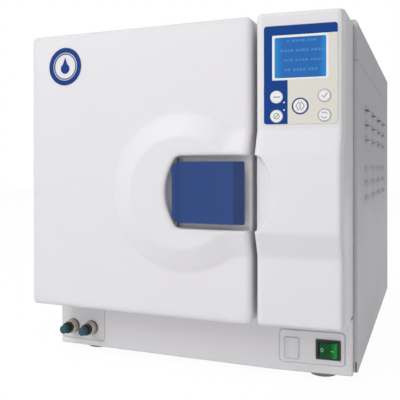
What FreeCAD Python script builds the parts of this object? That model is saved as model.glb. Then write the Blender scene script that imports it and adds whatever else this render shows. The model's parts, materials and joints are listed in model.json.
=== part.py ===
import FreeCAD, Part
import math
import os

from FreeCAD import Vector

os.makedirs("parts", exist_ok=True)

# Benchtop steam autoclave, millimetres. +Z up, front towards -Y, +X to the viewer's right.
# The origin is on the bench under the middle of the overall box.

# Overall housing
housing_width = 445.0
housing_depth = 570.0
underside = 14.0
rear_reach = 15.0
sheet = 1.2
seam_drop = 52.5
seam_gap = 0.5
lip_inset = 20.0
lip_down = 8.0
lip_up = 12.0
fold_radius = 3.0
flange_width = 14.0
lid_play = 1.0
slot_end = 0.48

# Mouldings on the front
wall = 3.0
front_inset = 5.0
front_drop = 2.0
cover_step = 3.0
frame_clear = 8.0
frame_side = 4.8
frame_seam = 3.0
frame_corner_radius = 6.0
frame_turn_radius = 4.0
face_turn = 5.0

# Door
door_bottom = 85.0
door_drop = 2.0
door_thickness = 60.0
door_corner_radius = 7.0
door_edge_radius = 5.0
door_step = 1.0
back_plate_inset = 2.0
back_plate_thickness = 1.5

# Raised belt and disc
belt_height = 247.0
belt_rise = 12.0
belt_half = 47.0
belt_slope = 30.0
belt_soft_radius = 14.0
disc_from_edge = 89.0
disc_radius = 71.0
disc_blend_radius = 20.0

# Finger scoop
scoop_from_edge = 41.0
scoop_radius = 70.0
scoop_depth = 16.0
scoop_lip = 3.0
scoop_corner_radius = 12.0
scoop_floor_radius = 5.0
scoop_margin = 1.0

# Handle
handle_from_edge = 6.0
handle_width = 97.0
handle_margin = 7.5
handle_proud = 2.0
handle_thickness = 4.0
handle_corner_radius = 15.0
handle_bevel = 12.0
handle_bevel_drop = 3.5
handle_edge = 3.0
handle_sag = 1.0
handle_tip_radius = 1.5
handle_swing = 28.0
shaft_radius = 3.0
shaft_setback = 6.5
knuckle_radius = 6.0
running_fit = 0.05
finger_width = 6.0
finger_height = 12.0
finger_play = 1.5
finger_through = 5.0

# Latch
latch_plane = 19.5
latch_thickness = 3.0
latch_from_edge = 46.0
latch_bar_width = 16.0
latch_hook_height = 20.0
latch_hook_reach = 12.0
latch_toe = 6.0
latch_window_half = 5.2
latch_arm_half = 15.0
latch_play = 1.0
hook_clear = 8.0
strike_sheet = 2.0
slide_fit = 0.3

# Lock bolt, which stands beside the lower latch hook inside its strike
bolt_radius = 4.0
solenoid_length = 34.0
solenoid_half_width = 10.0
solenoid_half_height = 11.0
solenoid_end = 4.0

# Hinge
hinge_inset = 2.0
hinge_gap = 1.5
hinge_barrel_radius = 6.0
hinge_pin_radius = 3.0
hinge_leaf_thickness = 2.5
hinge_leaf_width = 52.0
hinge_end = 13.0
knuckle_length = 16.0
knuckle_count = 3
knuckle_gap = 0.4
hinge_rebate = 1.5

# Control column
column_width = 105.0
column_gap = 6.5
column_corner_radius = 10.0
column_left_radius = 6.0
column_end_radius = 5.0
post_radius = 3.0
post_inset = 5.0
rough_margin = 12.0

# Control panel, measured along the turned face from the column's left edge
panel_clear = 6.0
panel_margin = 17.0
overlay_left = 9.9
overlay_right_margin = 8.1
overlay_height = 118.0
overlay_thickness = 0.8
overlay_corner_radius = 4.0
screen_left = 22.9
screen_width = 61.0
screen_above_panel = 55.0
screen_height = 48.5
screen_lip = 2.0
screen_play = 0.2
screen_corner_radius = 2.0
key_radius = 7.5
start_key_radius = 8.2
key_inset = 15.3
upper_key_rise = 32.5
lower_key_rise = 9.5
start_key_rise = 21.0
key_play = 0.4
key_pocket = 1.5
key_thickness = 2.1
key_proud = 0.8
key_bevel = 0.6
key_stem_radius = 2.0
key_stem_end = 6.0
board_depth = 9.0
board_thickness = 1.6

# Base front: switch plate and drain plate
switch_plate_left = 12.0
switch_plate_right_margin = 9.0
switch_plate_rise = 11.0
switch_plate_drop = 18.0
switch_plate_thickness = 1.5
switch_plate_proud = 0.8
plate_corner_radius = 5.0
bezel_right_margin = 14.3
bezel_width = 31.5
bezel_height = 25.7
bezel_sink = 1.0
bezel_proud = 2.0
bezel_lip = 2.0
bezel_corner_radius = 1.2
switch_opening_width = 25.0
switch_opening_height = 18.4
switch_well_depth = 16.0
switch_body_depth = 22.0
rocker_play = 0.3
rocker_pivot_depth = 4.0
rocker_rise = 4.5
rocker_hollow = 2.2
rocker_tilt = 10.0
port_left = 19.0
port_width = 18.6
port_height = 28.5
port_sink = 2.5
port_hinge_strip = 4.0
port_depth = 1.2
port_proud = 0.5
port_corner_radius = 1.5
groove_width = 0.6
groove_depth = 0.4
drain_plate_inset = 4.5
drain_plate_width = 73.0
drain_plate_rise = 8.0
drain_plate_drop = 6.0
drain_plate_thickness = 1.5
drain_first = 23.5
drain_pitch = 32.0
drain_rise = 27.0
drain_body_radius = 9.5
drain_body_length = 12.0
drain_seat_ring = 2.5
drain_ring_radius = 8.0
drain_ring_length = 6.0
drain_cap_radius = 6.0
drain_cap_length = 10.0
drain_tail_radius = 6.0
drain_tail_length = 26.0
drain_stem_radius = 2.5
cap_flat = 0.8
cap_flat_length = 6.0
drain_cap_end = 2.0

# Side louvres, two groups of rows about a middle height
louvre_first = 196.0
louvre_pitch = 102.8
louvre_columns = 4
louvre_length = 45.0
louvre_height = 5.5
louvre_taper = 6.0
louvre_skin = 1.0
louvre_row_pitch = 21.5
louvre_middle = 296.2

# Pressure chamber
chamber_radius = 123.5
chamber_wall = 2.0
chamber_depth = 348.0
chamber_dish = 40.0
flange_width_round = 21.5
flange_play = 2.0
gasket_gap = 0.3
disc_rim = 8.0
disc_step = 4.0
plug_play = 1.8
plug_depth = 12.0
plug_bevel = 5.0
disc_hollow = 2.0
gasket_inset = 1.5
gasket_lip = 4.0
heater_thickness = 3.0
heater_start = 150.0
heater_margin = 60.0
jacket_clear = 14.0
jacket_thickness = 16.0
jacket_edge_radius = 12.0
shell_gap = 0.2
stand_thickness = 2.0
stand_first = 140.0
stand_margin = 40.0
stand_half_width = 120.0
stand_rim = 25.0
saddle_drop = 60.0

# Rack and trays
rack_margin = 35.5
rack_start = 92.0
rack_back_gap = 6.0
rack_top = 62.0
rack_sheet = 1.2
rack_foot_rise = 8.0
tie_width = 15.0
tie_inset = 30.0
ledge_width = 7.0
tray_pitch = 40.0
tray_lift = 5.0
tray_wall = 0.8
tray_depth = 14.0
tray_play = 1.0
tray_end_play = 2.0
tray_corner_radius = 8.0
tray_slots = 5
tray_slot_width = 6.0

# Water tank
tank_side_gap = 17.5
tank_width = 110.0
tank_clear = 50.0
tank_back_gap = 15.0
tank_drop = 13.0
tank_wall = 2.5
tank_corner_radius = 8.0
neck_margin = 14.0
lid_lap = 6.0
lid_thickness = 3.0
lid_corner_radius = 5.0
lid_notch_radius = 9.0

# Fan, mains inlet, safety valve and overflow
fan_side = 102.5
fan_height = 130.0
fan_size = 92.0
fan_depth = 25.0
fan_bore = 43.0
fan_hub_radius = 16.0
fan_stub_radius = 2.5
fan_stub_length = 20.0
fan_strut = 4.0
fan_blades = 7
fan_blade_sheet = 1.6
fan_rake = 35.0
fan_tip_gap = 1.5
grille_rings = 3
grille_first = 14.0
grille_pitch = 10.0
grille_slot = 6.0
inlet_from_tank = 35.0
inlet_height = 60.0
inlet_width = 50.0
inlet_tall = 28.0
inlet_body_half = 14.0
inlet_body_rise = 10.7
inlet_body_depth = 22.0
inlet_recess_half = 12.0
inlet_recess_depth = 14.0
inlet_recess_rise = 8.3
inlet_rim = 3.0
inlet_pins = ((-7.0, -1.0), (7.0, -1.0), (0.0, 3.0))
valve_from_inlet = 80.0
valve_height = 90.0
valve_stem_radius = 7.0
valve_stem_length = 24.0
valve_hexagon = 5.0
valve_cap_radius = 6.5
valve_cap_length = 7.5
valve_bevel = 1.5
valve_hexagon_proud = 3.0
barb_height = 60.0
barb_radius = 5.0
barb_bore_radius = 3.0
barb_collar = 2.5
barb_collar_proud = 3.0
barb_root = 10.0
rear_slot_first = 72.5
rear_slot_pitch = 24.0
rear_slots = 7
rear_slot_bottom = 330.0
rear_slot_length = 60.0
rear_slot_width = 6.0

# Pump and valve block on the floor
pump_start = 230.0
pump_radius = 26.0
pump_length = 70.0
pump_head_half = 30.0
pump_head_depth = 28.0
pump_foot = 4.0
pump_web_half = 10.0
pump_port_radius = 5.0
pump_port_length = 14.0
block_start = 390.0
block_half = 30.0
block_depth = 24.0
block_height = 30.0
coil_radius = 8.0
coil_length = 28.0
coil_pitch = 20.0
block_port_radius = 3.0

# Feet and floor slots
foot_radius = 20.0
foot_edge_radius = 4.0
foot_inset_x = 48.0
foot_front = 113.0
foot_back_inset = 45.0
floor_slots = 5
floor_slot_start = 300.0
floor_slot_pitch = 14.0
floor_slot_width = 5.0
floor_slot_half = 40.0

# Heights that follow from the belt and the panel above it
belt_lean = math.tan(math.atan2(belt_rise, belt_slope) / 2)
overlay_bottom = belt_height + belt_half + belt_slope + panel_clear
overlay_top = overlay_bottom + overlay_height
front_top = overlay_top + panel_margin
door_top = front_top - door_drop
housing_top = front_top + cover_step
seam_height = housing_top - seam_drop
tank_top = housing_top - tank_drop
front_bottom = underside - front_drop
base_front_top = door_bottom - door_step
column_bottom = door_bottom + door_step

# Widths from the housing's sides inwards
half_width = housing_width / 2
front_half = half_width - front_inset
door_left = -front_half
column_right = front_half
column_left = column_right - column_width
door_right = column_left - column_gap
disc_x = door_right - disc_from_edge
scoop_x = door_right - scoop_from_edge
handle_right = door_right - handle_from_edge
handle_left = handle_right - handle_width
latch_bar_left = door_right - latch_from_edge
tank_right = half_width - tank_side_gap
tank_left = tank_right - tank_width
tank_x = (tank_left + tank_right) / 2
inlet_x = tank_left - inlet_from_tank
valve_x = inlet_x - valve_from_inlet
barb_x = tank_x
fan_x = fan_side - half_width
drain_plate_left = door_left + drain_plate_inset
drain_plate_right = drain_plate_left + drain_plate_width
drain_places = (door_left + drain_first, door_left + drain_first + drain_pitch)

# Depths behind the door's flat face
turn_drop = column_width * math.tan(math.radians(face_turn))
frame_front = door_thickness + frame_clear
frame_back = frame_front + turn_drop + frame_side
front_depth = frame_back + frame_seam
overall_depth = handle_proud + belt_rise + front_depth + housing_depth + rear_reach
face = -overall_depth / 2 + belt_rise + handle_proud
housing_front = face + front_depth
housing_back = housing_front + housing_depth
back_plate_rear = face + door_thickness - back_plate_inset
back_plate_front = back_plate_rear - back_plate_thickness
latch_hook_end = frame_front + latch_hook_reach
foot_rear = front_depth + housing_depth - foot_back_inset

# Hinge, handle shaft and latch
hinge_x = door_left + hinge_inset
hinge_y = face + door_thickness + hinge_gap
hinge_bottom = door_bottom + hinge_end
hinge_top = door_top - hinge_end
shaft_x = handle_left + knuckle_radius
shaft_y = face - belt_rise + shaft_setback
scoop_half_height = belt_half - scoop_margin
handle_height = 2 * (scoop_half_height - handle_margin)
latch_middle = face + latch_plane + latch_thickness / 2
latch_travel = (latch_middle - shaft_y) * math.tan(math.radians(handle_swing))

# Chamber in the middle of the door, and what is fitted round it
chamber_x = (door_left + door_right) / 2
chamber_height = (door_bottom + door_top) / 2
chamber_end = frame_back + chamber_depth
flange_radius = chamber_radius + flange_width_round
jacket_start = frame_back + jacket_clear
heater_end = chamber_end - heater_margin
stand_places = (stand_first, chamber_end - stand_margin)
rack_half_width = chamber_radius - rack_margin
rack_end = chamber_end - chamber_dish - rack_back_gap
tray_levels = {
    "tray_lower": -tray_pitch - tray_lift,
    "tray_middle": -tray_lift,
    "tray_upper": tray_pitch - tray_lift,
}
tank_start = chamber_end + tank_clear
tank_end = front_depth + housing_depth - tank_back_gap
strike_left = latch_bar_left - latch_toe - latch_play - strike_sheet
strike_right = latch_bar_left + latch_thickness + latch_travel + latch_play + strike_sheet
flange_reach = math.sqrt(max(0.0, flange_radius ** 2 - (strike_left - chamber_x) ** 2))
hook_offset = flange_reach + latch_hook_height / 2 + hook_clear
latch_hook_heights = (chamber_height - hook_offset, chamber_height + hook_offset)
strike_back = latch_hook_end + latch_play + strike_sheet
bolt_x = latch_bar_left + latch_thickness + latch_play + bolt_radius
bolt_height = latch_hook_heights[0]

# Panel layout
overlay_width = column_width - overlay_left - overlay_right_margin
screen_bottom = overlay_bottom + screen_above_panel
left_key_x = overlay_left + key_inset
right_key_x = overlay_left + overlay_width - key_inset
key_places = {
    "key_upper_left": (left_key_x, overlay_bottom + upper_key_rise, key_radius),
    "key_lower_left": (left_key_x, overlay_bottom + lower_key_rise, key_radius),
    "key_start": ((left_key_x + right_key_x) / 2, overlay_bottom + start_key_rise, start_key_radius),
    "key_upper_right": (right_key_x, overlay_bottom + upper_key_rise, key_radius),
    "key_lower_right": (right_key_x, overlay_bottom + lower_key_rise, key_radius),
}

# Base front layout
switch_plate_width = column_width - switch_plate_left - switch_plate_right_margin
switch_plate_bottom = front_bottom + switch_plate_rise
switch_plate_top = base_front_top - switch_plate_drop
switch_middle = (switch_plate_bottom + switch_plate_top) / 2
bezel_left = column_width - bezel_right_margin - bezel_width
bezel_bottom = switch_middle - bezel_sink - bezel_height / 2
port_bottom = switch_middle - port_sink - port_height / 2
drain_plate_bottom = front_bottom + drain_plate_rise
drain_plate_top = base_front_top - drain_plate_drop
drain_height = front_bottom + drain_rise
louvre_rows = [louvre_middle + step * louvre_row_pitch for step in (-3, -2, -1, 1, 2, 3)]
UP = Vector(0, 0, 1)
BACK = Vector(0, 1, 0)
RIGHT = Vector(1, 0, 0)


def box(x0, x1, y0, y1, z0, z1):
    return Part.makeBox(x1 - x0, y1 - y0, z1 - z0, Vector(x0, y0, z0))


def rod(radius, start, end):
    return Part.makeCylinder(radius, (end - start).Length, start, end - start)


def rounded_wire(points, radii):
    """Closed wire through the points, each corner rounded by its own radius."""
    if not isinstance(radii, (list, tuple)):
        radii = [radii] * len(points)
    corners = []
    for i, corner in enumerate(points):
        if radii[i] <= 0:
            corners.append((corner, None, corner))
            continue
        before = (points[i - 1] - corner).normalize()
        after = (points[(i + 1) % len(points)] - corner).normalize()
        half = before.getAngle(after) / 2
        bisector = (before + after).normalize()
        start = corner + before * (radii[i] / math.tan(half))
        end = corner + after * (radii[i] / math.tan(half))
        middle = corner + bisector * (radii[i] / math.sin(half) - radii[i])
        corners.append((start, middle, end))
    edges = []
    for i, (start, middle, end) in enumerate(corners):
        following = corners[(i + 1) % len(corners)][0]
        if middle is not None:
            edges.append(Part.Arc(start, middle, end).toShape())
        if (following - end).Length > 1e-6:
            edges.append(Part.makeLine(end, following))
    return Part.Wire(edges)


def front_slab(x0, x1, z0, z1, y0, y1, radius):
    """Plate square to the front, with rounded corners."""
    points = [Vector(x0, y0, z0), Vector(x1, y0, z0), Vector(x1, y0, z1), Vector(x0, y0, z1)]
    return Part.Face(rounded_wire(points, radius)).extrude(BACK * (y1 - y0))


def flat_slab(x0, x1, y0, y1, z0, z1, radius):
    """Level plate with rounded corners."""
    points = [Vector(x0, y0, z0), Vector(x1, y0, z0), Vector(x1, y1, z0), Vector(x0, y1, z0)]
    return Part.Face(rounded_wire(points, radius)).extrude(UP * (z1 - z0))


def plan_prism(points, radii, z0, z1):
    """Prism from a plan outline of (x, y) points."""
    wire = rounded_wire([Vector(x, y, z0) for x, y in points], radii)
    return Part.Face(wire).extrude(UP * (z1 - z0))


def side_prism(points, radii, x0, x1):
    """Prism from a side outline of (y, z) points."""
    wire = rounded_wire([Vector(x0, y, z) for y, z in points], radii)
    return Part.Face(wire).extrude(RIGHT * (x1 - x0))


def turned_about_y(points, radii, x, z):
    """Solid of revolution from (radius, y) points, about the line through x and z along Y."""
    wire = rounded_wire([Vector(x + r, y, z) for r, y in points], radii)
    return Part.Face(wire).revolve(Vector(x, 0, z), BACK, 360)


def ring_y(outer, inner, y0, y1, x, z):
    return turned_about_y([(inner, y0), (outer, y0), (outer, y1), (inner, y1)], 0, x, z)


def swung(shape, pivot_depth):
    """Swings a shape drawn square to the front about the column's left edge, onto the turned face."""
    out = shape.copy()
    out.rotate(Vector(column_left, face + pivot_depth, 0), UP, face_turn)
    return out


def edges_where(shape, test):
    return [edge for edge in shape.Edges if test(edge.BoundBox)]


# Door cover

def door_body(inset, back):
    """Door block with its outer sizes drawn in by inset, running back to the given plane."""
    return front_slab(door_left + inset, door_right - inset, door_bottom + inset, door_top - inset,
                      face + inset, back, door_corner_radius - inset)


def door_outer():
    """Door body with the raised belt, its whole front rim rounded, over the belt's end too."""
    body = door_body(0, face + door_thickness).fuse(raised_belt(0)).removeSplitter()
    near = door_corner_radius + 1

    def on_rim(b):
        flat = b.YMin > face - 0.01 and b.YMax < face + 0.01
        outside = b.ZMin > door_top - near or b.ZMax < door_bottom + near or b.XMax < door_left + near
        return (flat and outside) or (b.XMin > door_right - 0.01 and b.YMax < face + 0.01)

    return body.makeFillet(door_edge_radius, edges_where(body, on_rim))


def belt_outline(y, grow, end_x):
    """Outline of the disc running into the belt, with concave blends, in the plane y."""
    radius = disc_radius + grow
    half = belt_half + grow
    reach = radius + disc_blend_radius
    blend_x = disc_x + math.sqrt(reach ** 2 - (half + disc_blend_radius) ** 2)
    share = radius / reach
    edges = []
    joints = []
    for side in (1, -1):
        blend = Vector(blend_x, y, belt_height + side * (half + disc_blend_radius))
        centre = Vector(disc_x, y, belt_height)
        on_disc = centre + (blend - centre) * share
        on_belt = Vector(blend_x, y, belt_height + side * half)
        to_middle = ((on_disc - blend) + (on_belt - blend)).normalize()
        joints.append((on_disc, blend + to_middle * disc_blend_radius, on_belt,
                       Vector(end_x, y, belt_height + side * half)))
    upper, lower = joints
    edges.append(Part.Arc(upper[0], Vector(disc_x - radius, y, belt_height), lower[0]).toShape())
    edges.append(Part.Arc(lower[0], lower[1], lower[2]).toShape())
    edges.append(Part.makeLine(lower[2], lower[3]))
    edges.append(Part.makeLine(lower[3], upper[3]))
    edges.append(Part.makeLine(upper[3], upper[2]))
    edges.append(Part.Arc(upper[2], upper[1], upper[0]).toShape())
    return Part.Wire(edges)


def raised_belt(inset):
    """The belt and disc as one raised form, its slopes ruled between two outlines."""
    end_x = door_right - inset
    low = face + inset + 1
    slope = belt_slope / belt_rise
    spare = (low - face - inset) * slope
    outer = belt_outline(low, belt_slope + spare - inset, end_x)
    inner = belt_outline(face - belt_rise + inset, -inset, end_x)
    return Part.makeLoft([outer, inner], True, True)


def scoop(inset):
    """Finger scoop shared by the door and the column: a disc cut off level above and below."""
    top = face - belt_rise
    depth = scoop_depth + inset
    radius = scoop_radius + inset
    half = scoop_half_height + inset
    cut_x = math.sqrt(radius ** 2 - half ** 2)
    middle = Vector(scoop_x, top, belt_height)
    ends = [Vector(scoop_x + x, top, belt_height + z) for x, z in
            ((-cut_x, half), (cut_x, half), (cut_x, -half), (-cut_x, -half))]
    outline = Part.Wire([
        Part.Arc(ends[3], middle - RIGHT * radius, ends[0]).toShape(), Part.makeLine(ends[0], ends[1]),
        Part.Arc(ends[1], middle + RIGHT * radius, ends[2]).toShape(), Part.makeLine(ends[2], ends[3]),
    ])
    pocket = Part.Face(outline).extrude(BACK * depth)
    corners = edges_where(pocket, lambda b: b.ZMax - b.ZMin < 0.01 and b.XMax - b.XMin < 0.01)
    pocket = pocket.makeFillet(scoop_corner_radius + inset, corners)
    floor = edges_where(pocket, lambda b: b.YMin > top + depth - 0.01)
    pocket = pocket.makeFillet(scoop_floor_radius + inset, floor)
    reach = 2 * radius
    air = box(scoop_x - reach, scoop_x + reach, top - reach, top, belt_height - reach, belt_height + reach)
    cutter = air.fuse(pocket).removeSplitter()
    if inset < scoop_lip:
        rim = edges_where(cutter, lambda b: b.YMin > top - 0.01 and b.YMax < top + 0.01
                          and b.ZMax < belt_height + half + 1 and b.ZMin > belt_height - half - 1)
        cutter = cutter.makeFillet(scoop_lip - inset, rim)
    return cutter


def hinge_rebate_cutter():
    """Clears the door's left rear edge around the hinge barrel, over each group of knuckles."""
    cutters = []
    for low, high in knuckle_groups():
        start = Vector(hinge_x, hinge_y, low - hinge_rebate)
        end = Vector(hinge_x, hinge_y, high + hinge_rebate)
        cutters.append(rod(hinge_barrel_radius + hinge_rebate, start, end))
    return cutters


def door_cover():
    outer = door_outer()
    hollow = door_body(wall, face + door_thickness + 1).fuse(raised_belt(wall))
    lining = scoop(wall).common(outer)
    shell = outer.cut(hollow).fuse(lining).cut(scoop(0))
    ends = scoop_half_height + wall
    shaft_hole = rod(shaft_radius + running_fit, Vector(shaft_x, shaft_y, belt_height - ends),
                     Vector(shaft_x, shaft_y, belt_height + ends))
    floor = face - belt_rise + scoop_depth
    sweep = (floor + wall - shaft_y) * math.tan(math.radians(handle_swing))
    reach_x = finger_width / 2 + finger_play
    reach_z = finger_height / 2 + finger_play
    finger_slot = box(shaft_x - reach_x, shaft_x + reach_x + sweep, floor - scoop_floor_radius,
                      floor + wall + 1, belt_height - reach_z, belt_height + reach_z)
    return shell.cut([shaft_hole, finger_slot] + hinge_rebate_cutter()).removeSplitter()


# Hinge

def knuckle_groups():
    run = knuckle_count * knuckle_length
    return ((hinge_bottom, hinge_bottom + run), (hinge_top - run, hinge_top))


def knuckle(low, high, bore):
    start = Vector(hinge_x, hinge_y, low)
    end = Vector(hinge_x, hinge_y, high)
    return rod(hinge_barrel_radius, start, end), rod(bore, start, end)


def hinge_leaf(front, back, middle_knuckles, bore):
    """Tall leaf cut back round the chamber opening, with knuckles at both ends."""
    leaf = front_slab(hinge_x, hinge_x + hinge_leaf_width, hinge_bottom, hinge_top, front, back, 1)
    clear = rod(flange_radius + 4 * flange_play, Vector(chamber_x, front - 1, chamber_height),
                Vector(chamber_x, back + 1, chamber_height))
    leaf = leaf.cut(clear)
    rims = []
    bores = []
    gaps = []
    for low, high in knuckle_groups():
        for part in range(knuckle_count):
            start = low + part * knuckle_length
            end = start + knuckle_length
            own = (part == 1) == middle_knuckles
            if own:
                rim, hole = knuckle(start, end, bore)
                rims.append(rim)
                bores.append(hole)
            else:
                clearance = hinge_barrel_radius + knuckle_gap
                gaps.append(rod(clearance, Vector(hinge_x, hinge_y, start - knuckle_gap),
                                Vector(hinge_x, hinge_y, end + knuckle_gap)))
    strip = box(hinge_x - 1, hinge_x + hinge_barrel_radius, front - 1, back + 1,
                hinge_bottom + knuckle_count * knuckle_length + knuckle_gap,
                hinge_top - knuckle_count * knuckle_length - knuckle_gap)
    return leaf.cut(strip).fuse(rims).cut(bores + gaps).removeSplitter()


def hinge_pins():
    pins = []
    for low, high in knuckle_groups():
        pins.append(rod(hinge_pin_radius, Vector(hinge_x, hinge_y, low), Vector(hinge_x, hinge_y, high)))
    return Part.makeCompound(pins)


# Door inner parts

def hook_slot(y0, y1, z):
    """Slot that a latch hook passes through and slides in."""
    low = z - latch_hook_height / 2 - slide_fit
    return box(latch_bar_left - latch_toe - 1, latch_bar_left + latch_thickness + latch_travel + 1,
               y0 - 1, y1 + 1, low, low + latch_hook_height + 2 * slide_fit)


def door_back_plate():
    play = wall + slide_fit
    plate = front_slab(door_left + play, door_right - play, door_bottom + play, door_top - play,
                       back_plate_front, back_plate_rear, door_corner_radius - play)
    cuts = [hook_slot(back_plate_front, back_plate_rear, z) for z in latch_hook_heights]
    return plate.cut(cuts + hinge_rebate_cutter())


def pressure_disc():
    """Disc on the back plate: a rim for the gasket and a bevelled plug that enters the chamber."""
    seat = back_plate_rear
    rim = seat + disc_step
    plug = chamber_radius - plug_play
    edge = flange_radius - disc_rim
    nose = seat + plug_depth
    points = [(0, seat), (edge, seat), (edge, rim), (plug, rim), (plug, nose - plug_bevel / 2),
              (plug - plug_bevel, nose), (plug / 4, nose - disc_hollow), (0, nose - disc_hollow)]
    return turned_about_y(points, 0, chamber_x, chamber_height)


def door_gasket():
    """Seal ring on the disc's rim, with a thin lip that meets the flange."""
    root = back_plate_rear + disc_step
    tip = face + frame_front - gasket_gap
    inner = chamber_radius - gasket_inset
    outer = flange_radius - disc_rim - 1
    points = [(inner, root), (outer, root), (outer, tip - gasket_lip / 2), (outer - gasket_lip, tip),
              (inner, tip)]
    return turned_about_y(points, 0, chamber_x, chamber_height)


def door_handle():
    """Curved grip plate with a rolled left edge round its shaft and a bevel on the right."""
    crown = face - belt_rise - handle_proud
    low = belt_height - handle_height / 2
    high = low + handle_height
    middle_x = (handle_left + handle_right) / 2
    bevel_x = handle_right - handle_bevel
    bevel_y = crown + handle_sag
    end_y = bevel_y + handle_bevel_drop
    axis = Vector(shaft_x, shaft_y, low)
    roll_top = Vector(shaft_x, shaft_y - knuckle_radius, low)
    under_bevel = Vector(bevel_x, bevel_y + handle_thickness, low)
    edges = [
        Part.Arc(roll_top, Vector(middle_x, crown, low), Vector(bevel_x, bevel_y, low)).toShape(),
        Part.makeLine(Vector(bevel_x, bevel_y, low), Vector(handle_right, end_y, low)),
        Part.makeLine(Vector(handle_right, end_y, low), Vector(handle_right, end_y + handle_edge, low)),
        Part.makeLine(Vector(handle_right, end_y + handle_edge, low), under_bevel),
        Part.Arc(under_bevel, Vector(middle_x, crown + handle_thickness, low), axis).toShape(),
        Part.makeLine(axis, roll_top),
    ]
    plate = Part.Face(Part.Wire(edges)).extrude(UP * handle_height)
    roll = rod(knuckle_radius, axis, axis + UP * handle_height)
    behind = shaft_y + knuckle_radius + 1
    outline = front_slab(handle_left, handle_right, low, high, crown - 1, behind,
                         [handle_corner_radius, handle_tip_radius, handle_tip_radius, handle_corner_radius])
    bore = rod(shaft_radius, axis, axis + UP * handle_height)
    gap = box(handle_left - 1, shaft_x + knuckle_radius + 1, shaft_y - shaft_radius, behind,
              belt_height - finger_height / 2, belt_height + finger_height / 2)
    return plate.fuse(roll).common(outline).cut([bore, gap]).removeSplitter()


def handle_shaft():
    """Shaft through the handle with the finger that works the latch bar."""
    ends = scoop_half_height + wall - slide_fit
    shaft = rod(shaft_radius, Vector(shaft_x, shaft_y, belt_height - ends),
                Vector(shaft_x, shaft_y, belt_height + ends))
    finger = box(shaft_x - finger_width / 2, shaft_x + finger_width / 2,
                 shaft_y, face + latch_plane + latch_thickness + finger_through,
                 belt_height - finger_height / 2, belt_height + finger_height / 2)
    return shaft.fuse(finger)


def latch_bar():
    """Flat latch bar with a window for the handle's finger and a hook at each end."""
    front = face + latch_plane
    back = front + latch_thickness
    low, high = latch_hook_heights
    reach = latch_hook_height / 2
    upright = front_slab(latch_bar_left, latch_bar_left + latch_bar_width, low - reach, high + reach,
                         front, back, 2)
    arm = front_slab(shaft_x - latch_window_half - latch_toe, latch_bar_left + latch_bar_width,
                     belt_height - latch_arm_half, belt_height + latch_arm_half, front, back, 3)
    window_z = finger_height / 2 + latch_play
    window = box(shaft_x - latch_window_half, shaft_x + latch_window_half, front - 1, back + 1,
                 belt_height - window_z, belt_height + window_z)
    hooks = []
    for z in latch_hook_heights:
        tongue = box(latch_bar_left, latch_bar_left + latch_thickness, front, face + latch_hook_end,
                     z - reach, z + reach)
        toe = box(latch_bar_left - latch_toe, latch_bar_left, face + latch_hook_end - latch_toe,
                  face + latch_hook_end, z - reach, z + reach)
        hooks.extend([tongue, toe])
    return upright.fuse([arm] + hooks).cut(window).removeSplitter()


def latch_strikes():
    """Two U brackets behind the front frame that the latch hooks reach into."""
    front = face + frame_front + wall
    back = face + strike_back
    strikes = []
    for z in latch_hook_heights:
        half = latch_hook_height / 2 + slide_fit
        outer = box(strike_left, strike_right, front, back, z - half - strike_sheet, z + half + strike_sheet)
        inner = box(strike_left - 1, strike_right + 1, front - 1, back - strike_sheet, z - half, z + half)
        strikes.append(outer.cut(inner))
    bolt_hole = rod(bolt_radius + running_fit, Vector(bolt_x, front, bolt_height),
                    Vector(bolt_x, back + 1, bolt_height))
    strikes[0] = strikes[0].cut(bolt_hole)
    return Part.makeCompound(strikes)


def lock_solenoid():
    """Solenoid on the back of the lower strike, bored for its bolt."""
    front = face + strike_back
    body = box(bolt_x - solenoid_half_width, bolt_x + solenoid_half_width, front, front + solenoid_length,
               bolt_height - solenoid_half_height, bolt_height + solenoid_half_height)
    bore = rod(bolt_radius + running_fit, Vector(bolt_x, front - 1, bolt_height),
               Vector(bolt_x, front + solenoid_length - solenoid_end, bolt_height))
    return body.cut(bore)


def lock_bolt():
    """Bolt drawn back into the strike's rear wall, clear of the hook."""
    tip = face + strike_back - strike_sheet + slide_fit
    end = face + strike_back + solenoid_length - solenoid_end - 2
    points = [(0, tip), (bolt_radius - 1, tip), (bolt_radius, tip + 1), (bolt_radius, end), (0, end)]
    return turned_about_y(points, 0, bolt_x, bolt_height)


# Front frame and base front

def frame_plan(inset, back):
    """Plan outline of the front frame, straight behind the door and turned under the column."""
    slope = math.tan(math.radians(face_turn))
    front = face + frame_front + inset
    right = front_half - inset
    return [(-right, back), (-right, front), (column_left, front),
            (right, front + (right - column_left) * slope), (right, back)]


def drain_tail_holes(y0, y1):
    return [rod(drain_tail_radius + slide_fit, Vector(x, y0 - 1, drain_height),
                Vector(x, y1 + 1, drain_height)) for x in drain_places]


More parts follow.
